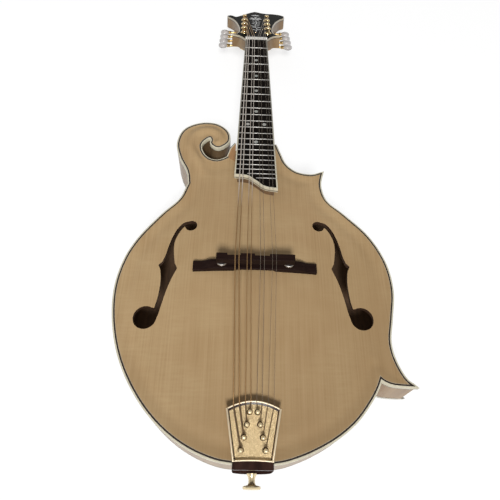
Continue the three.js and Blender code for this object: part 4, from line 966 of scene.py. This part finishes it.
head_path = join(*[spline(on_head(part), 5) for part in (
    [(-0.16, 0), (-0.185, 0.03), (-0.222, 0.076), (-0.268, 0.113), (-0.32, 0.135), (-0.37, 0.14)],
    [(-0.37, 0.14), (-0.305, 0.178), (-0.27, 0.235), (-0.264, 0.31), (-0.278, 0.41), (-0.31, 0.52),
     (-0.35, 0.62), (-0.41, 0.7), (-0.478, 0.757)],
    [(-0.478, 0.757), (-0.482, 0.8), (-0.436, 0.825), (-0.385, 0.809), (-0.335, 0.774), (-0.27, 0.812),
     (-0.18, 0.888), (-0.085, 0.96), (-0.012, 1)],
    [(-0.012, 1), (0.035, 0.985), (0.11, 0.952), (0.21, 0.931), (0.31, 0.928), (0.425, 0.9), (0.495, 0.85),
     (0.485, 0.765)],
    [(0.485, 0.765), (0.42, 0.715), (0.356, 0.63), (0.305, 0.52), (0.274, 0.41), (0.26, 0.31), (0.27, 0.235),
     (0.305, 0.182), (0.37, 0.145)],
    [(0.37, 0.145), (0.32, 0.138), (0.268, 0.115), (0.222, 0.076), (0.185, 0.03), (0.16, 0)],
)])
core_line, veneer_line = (offset(head_path, -inset, closed=False) for inset in (0.08, 1.18))
core = prism(core_line, core_bottom, -veneer)
bevel(piece("headstock_core", core, HEAD, neck_look, slot="maple_body"), 0.8, 3)
edging("headstock_edge_binding", head_path, [
    (-1.2, -veneer), (-1.2, 0.01), (-0.4, 0.01), (-0.1, -0.12), (0, -0.4), (0, -veneer),
], HEAD, head_binding_look, stands_for="headstock_binding", slot="binding")
edging("headstock_dark_line", head_path, bar(-0.25, 0.03, -2.75, -veneer), HEAD, line_look)
piece("headstock_face", prism(veneer_line, -veneer, 0), HEAD, lacquer_look, stands_for="headstock_veneer",
      slot="black_lacquer")
cover_width, cover_length, cover_top = 21, 34, 1.8
cover = spline([(x * cover_width, y * cover_length) for x, y in (
    (-0.5, 0.03), (-0.42, 0.3), (-0.2, 0.55), (-0.12, 0.82), (0, 1), (0.12, 0.82), (0.2, 0.55), (0.42, 0.3),
    (0.5, 0.03),
)], 5)
bevel(piece("rod_cover", prism(cover, 0.05, cover_top), HEAD, lacquer_look, stands_for="truss_rod_cover",
            slot="black_lacquer"), 0.35, 3)
piece("rod_cover_edge", prism(cover, 0.02, 0.55), HEAD, pale_line_look)
cover_screws = [(x, y, cover_top) for x, y in ((-8, 3.6), (8, 3.6), (0, 29.5))]
screws("rod_cover", cover_screws, HEAD, gold_look, radius=1.1)

# A generic leaf and blossom inlay
inlay_low, inlay_high = -0.2, 0.05
blossom_y, tuft_y = 112, 128


def leaf(centre, angle, length, width):
    shares = [k / 8 for k in range(9)]
    upper = [(share * length, width / 2 * math.sin(math.pi * share) ** 0.8) for share in shares]
    return prism(moved(upper + [(x, -y) for x, y in upper[7:0:-1]], angle, centre), inlay_low, inlay_high)


stem = spline([(0, 40), (1.6, 54), (-1.2, 70), (1.2, 86), (0, 101)], 6)
left, right = (offset(stem, half, closed=False) for half in (0.55, -0.55))
inlay = [prism(left + right[::-1], inlay_low, inlay_high)]
for y, spread in ((48, 1), (60, -1), (68, 1), (80, -1), (90, 1)):
    x = float(np.interp(y, [p[1] for p in stem], [p[0] for p in stem]))
    inlay.append(leaf((x + 0.7 * spread, y + 1.5), quarter - spread * 0.95, 7.2, 2.6))
    inlay.append(leaf((x - 0.7 * spread, y), quarter + spread * 0.95, 7.2, 2.6))
for k in range(7):
    angle = quarter + math.tau * k / 7
    inlay.append(leaf(polar(1.9, angle, (0, blossom_y)), angle, 8.4, 4.0))
inlay.append(turned([(0, 0.06), (1.5, 0.06), (1.5, inlay_low), (0, inlay_low)], 20, (0, blossom_y)))
for k in range(-2, 3):
    angle = quarter + k * 0.5
    inlay.append(leaf(polar(1.5, angle, (0, tuft_y)), angle, 8.5 - abs(k), 2.4))
piece("headstock_inlay", merged(inlay), HEAD, head_inlay_look, slot="pearl_buttons")

# Strings by course: side, X at the nut and at the saddle, radius. A course's second string lies further in.
strings = {}
for course, side, nut_x, saddle_x, radius in (
    ("g", -1, 11.8, 18.2, 0.49),
    ("d", -1, 4.8, 7.6, 0.33),
    ("a", 1, 4.8, 7.6, 0.19),
    ("e", 1, 11.8, 18.2, 0.14),
):
    strings[f"{course}1"] = (side, side * nut_x, side * saddle_x, radius)
    strings[f"{course}2"] = (side, side * (nut_x - 2.5), side * (saddle_x - 3.4), radius)

# Nut with a slot for each string
nut_half, nut_top, nut_depth, slot_depth = 14.38, 2.1, 2.0, 0.2
section = [(-nut_half, nut_top)]
for x, radius in sorted((nut_x, radius) for _, nut_x, _, radius in strings.values()):
    reach, shoulder_z = radius + 0.05, nut_top - slot_depth * 0.7
    section += [(x - reach, nut_top), (x - reach * 0.7, shoulder_z), (x, nut_top - slot_depth),
                (x + reach * 0.7, shoulder_z), (x + reach, nut_top)]
section += [(nut_half, nut_top), (nut_half, -5), (-nut_half, -5)]
vertices, faces = across_bar(section, nut_depth)
vertices = [(x, y + 2.3, z - (0.6 * max(y, 0) / nut_depth if z > 1 else 0)) for x, y, z in vertices]
bevel(piece("string_nut", (vertices, faces), BOARD, bone_look, stands_for="nut", slot="bone_nut"), 0.12)

# Tuners: posts with their gears, knobs on worm shafts, ferrules and screws
post_pitch = 22.5
post_place = {}
for side, labels in ((-1, ("g1", "g2", "d1", "d2")), (1, ("e1", "e2", "a1", "a2"))):
    for row, label in enumerate(labels):
        post_place[label] = (side * post_spread, first_post + post_pitch * row)
gear_top = core_bottom - 0.3 - 1.5 - 1.7
gear_middle, gear_low = gear_top - 1.5, gear_top - 3
teeth, root_radius, tip_radius = 14, 4.35, 5.35
tooth = ((-0.27, root_radius), (-0.13, tip_radius), (0.13, tip_radius), (0.27, root_radius))
worm_offset, knob_reach = 8.3, 46.5 - post_spread


def gear(place):
    line = []
    for k in range(teeth):
        for share, radius in tooth:
            line.append(polar(radius, math.tau * (k + 0.5 + share) / teeth, place))
    return prism(line, gear_low, gear_top)


def post_shape(place):
    low = gear_middle - 3
    return turned([
        (0, low), (2.0, low), (2.4, low + 0.4), (2.4, gear_low - 0.1), (3.0, gear_low - 0.05), (3.0, 1.5),
        (2.75, 1.8), (2.4, 2.1), (2.4, 5.7), (2.75, 6.0), (3.0, 6.25), (3.0, 7.15), (2.85, 7.5), (2.3, 7.75),
        (0, 7.8),
    ], 36, place)


def worm_shaft(end, side):
    """A shaft along X with a right-hand thread between the lugs, ending in the button's collar."""
    thread_end, pitch, steps, sides = 4.0, 2.667, 40, 24
    rings = [(u, [radius] * sides) for u, radius in ((-7.2, 1.2), (-7.0, 1.5), (-4.1, 1.5))]
    for step in range(steps + 1):
        u = -thread_end + 2 * thread_end * step / steps
        fade = max(min(1, (u + thread_end) / 0.8, (thread_end - u) / 0.8), 0)
        waves = [max(0, math.cos(math.tau * (k / sides - u / pitch))) ** 0.8 for k in range(sides)]
        rings.append((u, [1.75 + 0.85 * fade * wave for wave in waves]))
    rings.append((4.1, [1.5] * sides))
    collar = ((9.6, 1.5), (9.4, 2.3), (8.6, 2.6), (7.4, 2.2), (6.4, 2.6), (4.5, 2.4))
    rings += [(end - back, [radius] * sides) for back, radius in collar]
    turns = circle(1, sides)
    return loft([[(side * u, r * c, r * side * s) for r, (c, s) in zip(radii, turns)] for u, radii in rings])


def button(end, side):
    """A tuner button: a flattened oval that is waisted towards its shaft."""
    rings = []
    steps = 18
    for step in range(steps + 1):
        angle = math.pi * step / steps
        u, round_share = -math.cos(angle), max(math.sin(angle), 0.001)
        wide = round_share**0.8 * (6.95 - 0.9 * (u < 0) * (u * u))
        thick = round_share**0.75 * (3.7 - 0.7 * max(-u, 0))
        ring = []
        for c, s in circle(1, 28):
            y, z = (math.copysign(abs(value) ** 0.9, value) for value in (c, s))
            ring.append((side * (end + 6.45 * u), wide * y, thick * z))
        rings.append(ring)
    return loft(rings)


for label, (x, y) in post_place.items():
    body, pin_z = f"post_{label}", 5.2
    post = merged([post_shape((x, y)), gear((x, y))])
    bevel(piece(f"string_post_{label}", post, HEAD, gold_look, body, body, "gold_hardware"), 0.12)
    # Painted shade: a dark pin through each post for its string hole
    piece(f"post_hole_shade_{label}", pin(x - 2.45, x + 2.45, 0.75, 14, (y, pin_z)), HEAD, line_look, body)
    screws(f"gear_{label}", [(x, y, gear_middle - 3)], HEAD, steel_look, -1, 1.7, body)
ferrule = [
    (3.15, -1.0), (3.15, 0.9), (3.4, 1.15), (3.9, 1.2), (4.5, 0.9), (4.9, 0.45), (5.0, 0.0), (4.4, -1.0),
]
ferrules = merged([turned_ring(ferrule, 36, place) for place in post_place.values()])
piece("post_ferrules", ferrules, HEAD, gold_look, slot="gold_hardware")
plate_screws = [(side * (13.2 if i % 2 else 19.4), y, core_bottom - 1.8)
                for side in (-1, 1) for i, y in enumerate((29.5, 48.6, 71.1, 93.6, 113.5))]
screws("tuner_plate", plate_screws, HEAD, gold_look, -1, 1.25)
for label, (x, y) in post_place.items():
    side, body = (-1 if x < 0 else 1), f"knob_{label}"
    place = HEAD @ Matrix.Translation((x, y + worm_offset, gear_middle))
    piece(f"worm_{label}", worm_shaft(knob_reach, side), place, shaft_look, body, slot="gold_hardware")
    piece(f"button_{label}", button(knob_reach, side), place, button_look, body, body, "pearl_buttons")

# Bridge: a base with two feet, studs with their wheels, and the saddle
bridge_half, relief_half, relief_height, foot_clear = 57, 57 * 0.35, 2.0, 0.02
section = []
for step in range(61):
    x = -bridge_half + 2 * bridge_half * step / 60
    share = min(max((relief_half - abs(x)) / 4, 0), 1)
    lift = relief_height * share * share * (3 - 2 * share)
    section.append((x, float(arch_at(x, 0, top_arch)) + foot_clear + lift))
end_top = float(arch_at(bridge_half, 0, top_arch)) + 0.3 + 4.2
top_line = spline([(bridge_half, end_top), (48, 12.2), (41.5, 15.3), (36, 16.2)], 5)
section += top_line + [(-x, z) for x, z in reversed(top_line)]
foot = across_bar(section, 4.7)
bevel(piece("bridge_foot", foot, RIM, bridge_look, stands_for="bridge_base", slot="ebony"), 0.5, 3)


def threaded(radius, low, high, pitch, centre):
    sides, steps = 24, int((high - low) / pitch * 8)
    rings = []
    for step in range(steps + 1):
        z = low + (high - low) * step / steps
        dips = [0.22 * (0.5 - 0.5 * math.cos(math.tau * (k / sides - z / pitch))) for k in range(sides)]
        rings.append([(*polar(radius - dip, math.tau * k / sides, centre), z) for k, dip in enumerate(dips)])
    return loft(rings)


wheel_profile = [
    (2.0, 19.25), (4.3, 19.25), (4.85, 19.6), (4.85, 21.3), (4.3, 21.65), (3.2, 21.68), (2.0, 21.68),
]


def knurl(k, index):
    """Every second ridge of the wheel's rim lies deeper."""
    return -0.28 if index in (2, 3) and k % 2 else 0


for side, x in (("bass", -stud_x), ("treble", stud_x)):
    piece(f"{side}_threaded_stud", threaded(1.75, 12.7, 26, 0.794, (x, 0)), RIM, nickel_look,
          stands_for=f"{side}_bridge_stud", slot="nickel")
    knurled = turned_ring(wheel_profile, 72, (x, 0), knurl)
    piece(f"{side}_knurled_wheel", knurled, RIM, nickel_look, f"{side}_wheel", f"{side}_thumbwheel", "nickel",
          sharp=30)
saddle_half, saddle_depth, saddle_step, saddle_low, saddle_top = 35, 3.3, 1.5, 22, 30.3
saddle_plan = [(-saddle_half, -saddle_depth), (saddle_half, -saddle_depth), (saddle_half, saddle_depth)]
for start, end in ((-0.01, 0.18), (-0.36, -0.19)):
    a, b = end * 2 * saddle_half, start * 2 * saddle_half
    saddle_plan += [(a, saddle_depth), (a, saddle_step), (b, saddle_step), (b, saddle_depth)]
saddle_plan.append((-saddle_half, saddle_depth))
saddle = prism(saddle_plan, saddle_low, saddle_top)
bevel(piece("saddle_bar", saddle, RIM, bridge_look, "saddle", "bridge_saddle", "ebony"), 0.35, 3)

# Tailpiece: a cast tray with hitch posts, its cap and plate over the tail, and the strap button
tail_edge = -0.461 * body_length
rib_tail, tray_start = tail_edge - 1.8, tail_edge + 1.4
TRAY = RIM @ Matrix.Translation((0, tray_start, 2)) @ Matrix.Rotation(math.radians(10), 4, "X")
tray_rear, tray_corner, tray_length, tray_rise, tray_floor = 15.8, 21.9, 38.2, 6.2, 1.6


def bow(half, start, rise, steps):
    """A shallow arc across the tray, from high X to low X."""
    return [(half * a, start + rise * (1 - a * a)) for a in (1 - 2 * k / steps for k in range(steps + 1))]


front, rear = bow(tray_corner, tray_length, tray_rise, 24), bow(tray_rear, 0, 0.75, 12)
floor_line = [(-tray_rear, 0), (tray_rear, 0), *front]
floor_line = [(x * 0.97, y + 0.4 if y < 1 else y - 0.5) for x, y in floor_line]
tray = prism(floor_line, 0.3, tray_floor)
bevel(piece("tray_floor", tray, TRAY, cast_look, stands_for="tailpiece", slot="gold_hardware"), 0.15)
# Painted shade: dark strips along the inner foot of the rims, for the shade there
rims, rim_shade_strips = [], []
for way in (-1, 1):
    path = [(way * tray_rear, 0.0), (way * (tray_rear + tray_corner) / 2, tray_length / 2),
            (way * tray_corner, tray_length)]
    rims.append(strip(path, [(way * d, z) for d, z in (
        (0.1, 0.1), (0.0, 3.9), (0.3, 4.7), (0.8, 5.0), (1.4, 4.7), (1.6, 4.0), (1.75, 1.5), (1.75, 0.1))]))
    rim_shade_strips.append(strip(path, [(way * d, z) for d, z in ((1.7, 1.3), (1.7, 2.1), (2.5, 1.64), (2.5, 1.3))]))
rims.append(strip(front, [
    (0.05, 0.0), (0.0, 2.1), (0.3, 2.65), (0.7, 2.75), (1.2, 2.5), (1.3, 1.5), (1.3, 0.0),
]))
rim_shade_strips.append(strip(front, [(1.25, 1.3), (1.25, 2.2), (2.9, 1.64), (2.9, 1.3)]))
rims.append(strip(rear, [
    (-0.05, 0.1), (0.0, 4.2), (-0.25, 4.8), (-0.7, 5.0), (-1.1, 4.8), (-1.35, 4.2), (-1.5, 1.5), (-1.5, 0.1),
]))
bevel(piece("tray_rims", merged(rims), TRAY, rim_look, slot="gold_hardware"), 0.1)
piece("tray_painted_rim_shade", merged(rim_shade_strips), TRAY, dark_reflection_and_shade_look, slot="gold_hardware")
hitches = {(side, row): (side * (9.5 - 2.15 * row), 8.2 + 9.2 * row) for row in range(4) for side in (-1, 1)}
ball_radius, ball_middle = 1.8, tray_floor + 5.2
turns = [polar(ball_radius, math.pi * k / 12) for k in range(3, 12)]
ball = [(radius, ball_middle - rise) for rise, radius in turns]
peg = [(0, 1.4), (1.3, 1.4), (1.15, 2.4), (1.15, 5.2), *ball, (0, ball_middle + ball_radius)]
# Painted shade: a dark ring round the foot of each hitch post, for its contact shadow
foot_shade_ring = [(1.1, 1.4), (1.1, 1.95), (2.3, 1.85), (2.5, 1.4)]
piece("hitch_posts", merged([turned(peg, 28, place) for place in hitches.values()]), TRAY, ball_look,
      slot="gold_hardware")
piece("hitch_painted_foot_shade", merged([turned_ring(foot_shade_ring, 28, place) for place in hitches.values()]), TRAY, dark_reflection_and_shade_look,
      slot="gold_hardware")
plate_half_depth = 1.3
bracket_face = rib_tail - 0.3 - 2 * plate_half_depth
# The cap and the plate below it have the painted dark reflection
cap = [(-tray_rear, bracket_face + 0.02), (tray_rear, bracket_face + 0.02), (tray_rear, tray_start + 0.9),
       (-tray_rear, tray_start + 0.9)]
bevel(piece("tail_cap", prism(cap, 0.3, 6.25), RIM, dark_reflection_and_shade_look, slot="gold_hardware"), 0.8, 3)
drop = spline([(tray_rear, 3), (tray_rear, -12), (14.5, -24), (9, -31), (0, -33)], 6)
vertices, faces = across_bar(drop + [(-x, z) for x, z in reversed(drop)][1:], plate_half_depth)
vertices = [(x, y + bracket_face + plate_half_depth, z) for x, y, z in vertices]
bevel(piece("tail_plate", (vertices, faces), RIM, end_plate_look, slot="gold_hardware"), 0.5, 3)
BUTTON = RIM @ Matrix.Translation((0, rib_tail, -20)) @ Matrix.Rotation(quarter, 4, "X")
base = 2.6 + 0.3 + 0.3
disc = base + 8.6
end = disc + 3
piece("tail_button", turned([
    (0, -14), (2.6, -14), (2.6, base), (4.15, base), (4.2, base + 0.5), (3.9, base + 1.0), (3.1, base + 2.2),
    (2.6, base + 4.2), (2.6, disc - 2.0), (3.2, disc - 0.7), (4.7, disc), (6.5, disc + 0.35),
    (7.15, disc + 1.0), (7.15, end - 0.9), (6.6, end - 0.25), (5.4, end - 0.02), (1.3, end - 0.02),
    (1.0, end - 0.5), (0, end - 0.5),
], 48), BUTTON, ball_look, stands_for="strap_button", slot="gold_hardware")
TAIL = RIM @ Matrix.Translation((0, bracket_face, 0)) @ Matrix.Rotation(quarter, 4, "X")
screws("tail_plate", [(-9.5, -11, 0.0), (9.5, -11, 0.0), (0, -29, 0.0)], TAIL, end_plate_look, radius=2.0)

# Strings, split at the saddle so that they follow it. They cross the crest of the tray's front rim, where
# they lie wider than their posts.
string_sides, over_saddle = 10, 3.2
crest_places, crest_height, loop_height = (16.0, 11.3, 6.6, 2.3), 2.6, 3.2
IN_HEAD, ON_BOARD, ON_TRAY = (RIM.inverted() @ matrix for matrix in (HEAD, BOARD, TRAY))


def winding(label, radius):
    """The string's turns down its post, from the neck's side round the outside."""
    x, y = post_place[label]
    pitch, turns = radius * 2 + 0.04, 3.4 if radius < 0.3 else 2.5
    points = []
    for turn in (step / 20 for step in range(int(turns * 20) + 1)):
        angle = turn * math.tau if x < 0 else math.pi - turn * math.tau
        points.append((*polar(2.4 + radius + 0.02, angle, (x, y)), 5.3 - pitch * turn))
    return [IN_HEAD @ Vector(p) for p in points]


def string_piece(name, points, radius, look, node, slot):
    uv = [(run * millimetre, k / string_sides) for run in run_lengths(points) for k in range(string_sides)]
    made = piece(name, tube(points, radius, string_sides), RIM, look, None, node, slot, uv=uv)
    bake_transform(made)


def neck_string(label, over, radius, look, slot):
    nut_x = strings[label][1]
    at_nut = ON_BOARD @ Vector((nut_x, 0.3, nut_top - slot_depth + radius))
    past_nut = ON_BOARD @ Vector((nut_x, 4.2, nut_top - 0.45 + radius))
    lifted = over + Vector((0, over_saddle, 0))
    run = [lifted.lerp(at_nut, k / 12) for k in range(1, 13)]
    points = [over, lifted, *run, past_nut, *winding(label, radius)]
    string_piece(f"neck_string_{label}", points, radius, look, f"string_{label}", slot)


def tail_string(label, side, over, radius, look, slot):
    """From the saddle over the crest to a knot, a loop round the hitch post and a twist along the string."""
    row = (0 if label[0] in "ge" else 2) + int(label[1]) - 1
    post = hitches[side, row]
    crest_x = side * crest_places[row]
    crest_y = tray_length + tray_rise * (1 - (crest_x / tray_corner) ** 2) - 0.7
    bearing = math.atan2(crest_y - post[1], crest_x - post[0])
    knot = ON_TRAY @ Vector((*polar(4.2, bearing, post), loop_height + 0.1))
    crest = ON_TRAY @ Vector((crest_x, crest_y, crest_height + radius))
    lifted = over - Vector((0, over_saddle, 0))
    points = [over, lifted, *(lifted.lerp(crest, k / 8) for k in range(1, 9)), crest.lerp(knot, 0.5), knot]
    string_piece(f"tail_string_{label}", points, radius, look, None, slot)
    angles = [bearing - math.pi - math.radians(140) + math.radians(280) * k / 12 for k in range(13)]
    loop = [ON_TRAY @ Vector((*polar(1.2 + radius, angle, post), loop_height)) for angle in angles]
    closed_loop = [knot, *reversed(loop), knot + Vector((radius * 0.5, 0, 0))]
    piece(f"loop_{label}", tube(closed_loop, max(radius * 0.8, 0.16)), RIM, loop_look, slot=slot)
    toward = (crest - knot).normalized()
    twist_length = min(40 - post[1], (crest - knot).length - 1)
    steps = range(int(twist_length * 4) + 1)
    twist = [knot + toward * (twist_length * k / steps[-1]) for k in steps]
    ridges = [radius * 1.2 + 0.1 + 0.14 * (0.5 - 0.5 * math.cos(math.tau * k / 4)) for k in steps]
    piece(f"twist_{label}", tube(twist, ridges), RIM, loop_look, slot=slot)


for label, (side, _, saddle_x, radius) in strings.items():
    look, slot = (wound_look, "wound_strings") if radius > 0.3 else (plain_look, "plain_strings")
    over = Vector((saddle_x, 0, saddle_top + radius))
    neck_string(label, over, radius, look, slot)
    tail_string(label, side, over, radius, look, slot)

# Floor: it takes shadows as a grey, and the rays that show the backdrop see it paler
floor_size = 30
corners = [(x * floor_size, y * floor_size, 0) for x, y in ((-1, -1), (1, -1), (1, 1), (-1, 1))]
mesh = bpy.data.meshes.new("floor")
mesh.from_pydata(corners, [], [(0, 1, 2, 3)])
look = Look("floor_white", Roughness=0.9, Specular_IOR_Level=0.1, Base_Color=(0.32, 0.32, 0.32, 1))
glow = look.node("ShaderNodeEmission", {"Strength": look.backdrop_rays(), "Color": (0.74, 0.74, 0.74, 1)})
both = look.node("ShaderNodeAddShader", {0: look.shader.outputs[0], 1: glow.outputs[0]})
look.feed(look.tree.nodes["Material Output"].inputs["Surface"], both.outputs[0])
mesh.materials.append(look.material)
floor = bpy.data.objects.new("floor", mesh)
floor.location.z = -0.0005
scene.collection.objects.link(floor)


# Light
def lamp(name, kind, place, size, power, colour=(1, 1, 1), target=(0, 0.1, 0.05)):
    light = bpy.data.lights.new(name, kind)
    if kind == "AREA":
        light.shape = "DISK"
        light.size = size
    else:
        light.shadow_soft_size = size
    light.energy = power
    light.color = colour
    made = bpy.data.objects.new(name, light)
    made.location = place
    made.rotation_euler = (Vector(target) - Vector(place)).to_track_quat("-Z", "Y").to_euler()
    scene.collection.objects.link(made)


lamp("key", "AREA", (0.0, -3.34, 3.43), 1.15, 212)
lamp("fill", "AREA", (-1.5, 0.7, 1.3), 1.2, 2.5)
# A faint light inside the body, for the room light that the holes let in
lamp("inner", "POINT", RIM @ Vector((0, -15, -22)), 0.02, 0.125, (1, 0.86, 0.7))
# A grey studio that lights from above, and is white near the horizon for the rays that show the backdrop
world = bpy.data.worlds.new("studio")
studio = Nodes(world)
sky_strength = 0.32
height = studio.axis("Z", "Generated")
sky = studio.ramp(height, (0.0, (0.5, 0.5, 0.5)), (0.55, (0.72, 0.72, 0.72)), (1.0, (1, 1, 1)))
horizon = studio.math("MULTIPLY", studio.range(height, 0.0, 1.0, 0.26, 0.12), studio.backdrop_rays())
white = (1 / sky_strength, 1 / sky_strength, 1 / sky_strength)
background = studio.tree.nodes["Background"]
studio.feed(background.inputs["Color"], studio.mix(horizon, sky, white))
background.inputs["Strength"].default_value = sky_strength
scene.world = world

# Camera, fitted to the photograph in the rim frame
camera_data = bpy.data.cameras.new("camera")
camera_data.lens = 33.4
camera_data.sensor_width = 36
camera_data.clip_start = 0.01
camera = bpy.data.objects.new("camera", camera_data)
turn = Matrix.Rotation(tilt_of(joints["bass_wheel_turn"]), 4, "X")
for degrees, axis in ((-1.42, "Y"), (29.92, "X"), (0.85, "Z")):
    turn = turn @ Matrix.Rotation(math.radians(degrees), 4, axis)
camera.matrix_world = Matrix.Translation(RIM @ Vector((-14.1, -199.0, 387.5))) @ turn
scene.collection.objects.link(camera)
scene.camera = camera
scene.view_settings.view_transform = "Standard"
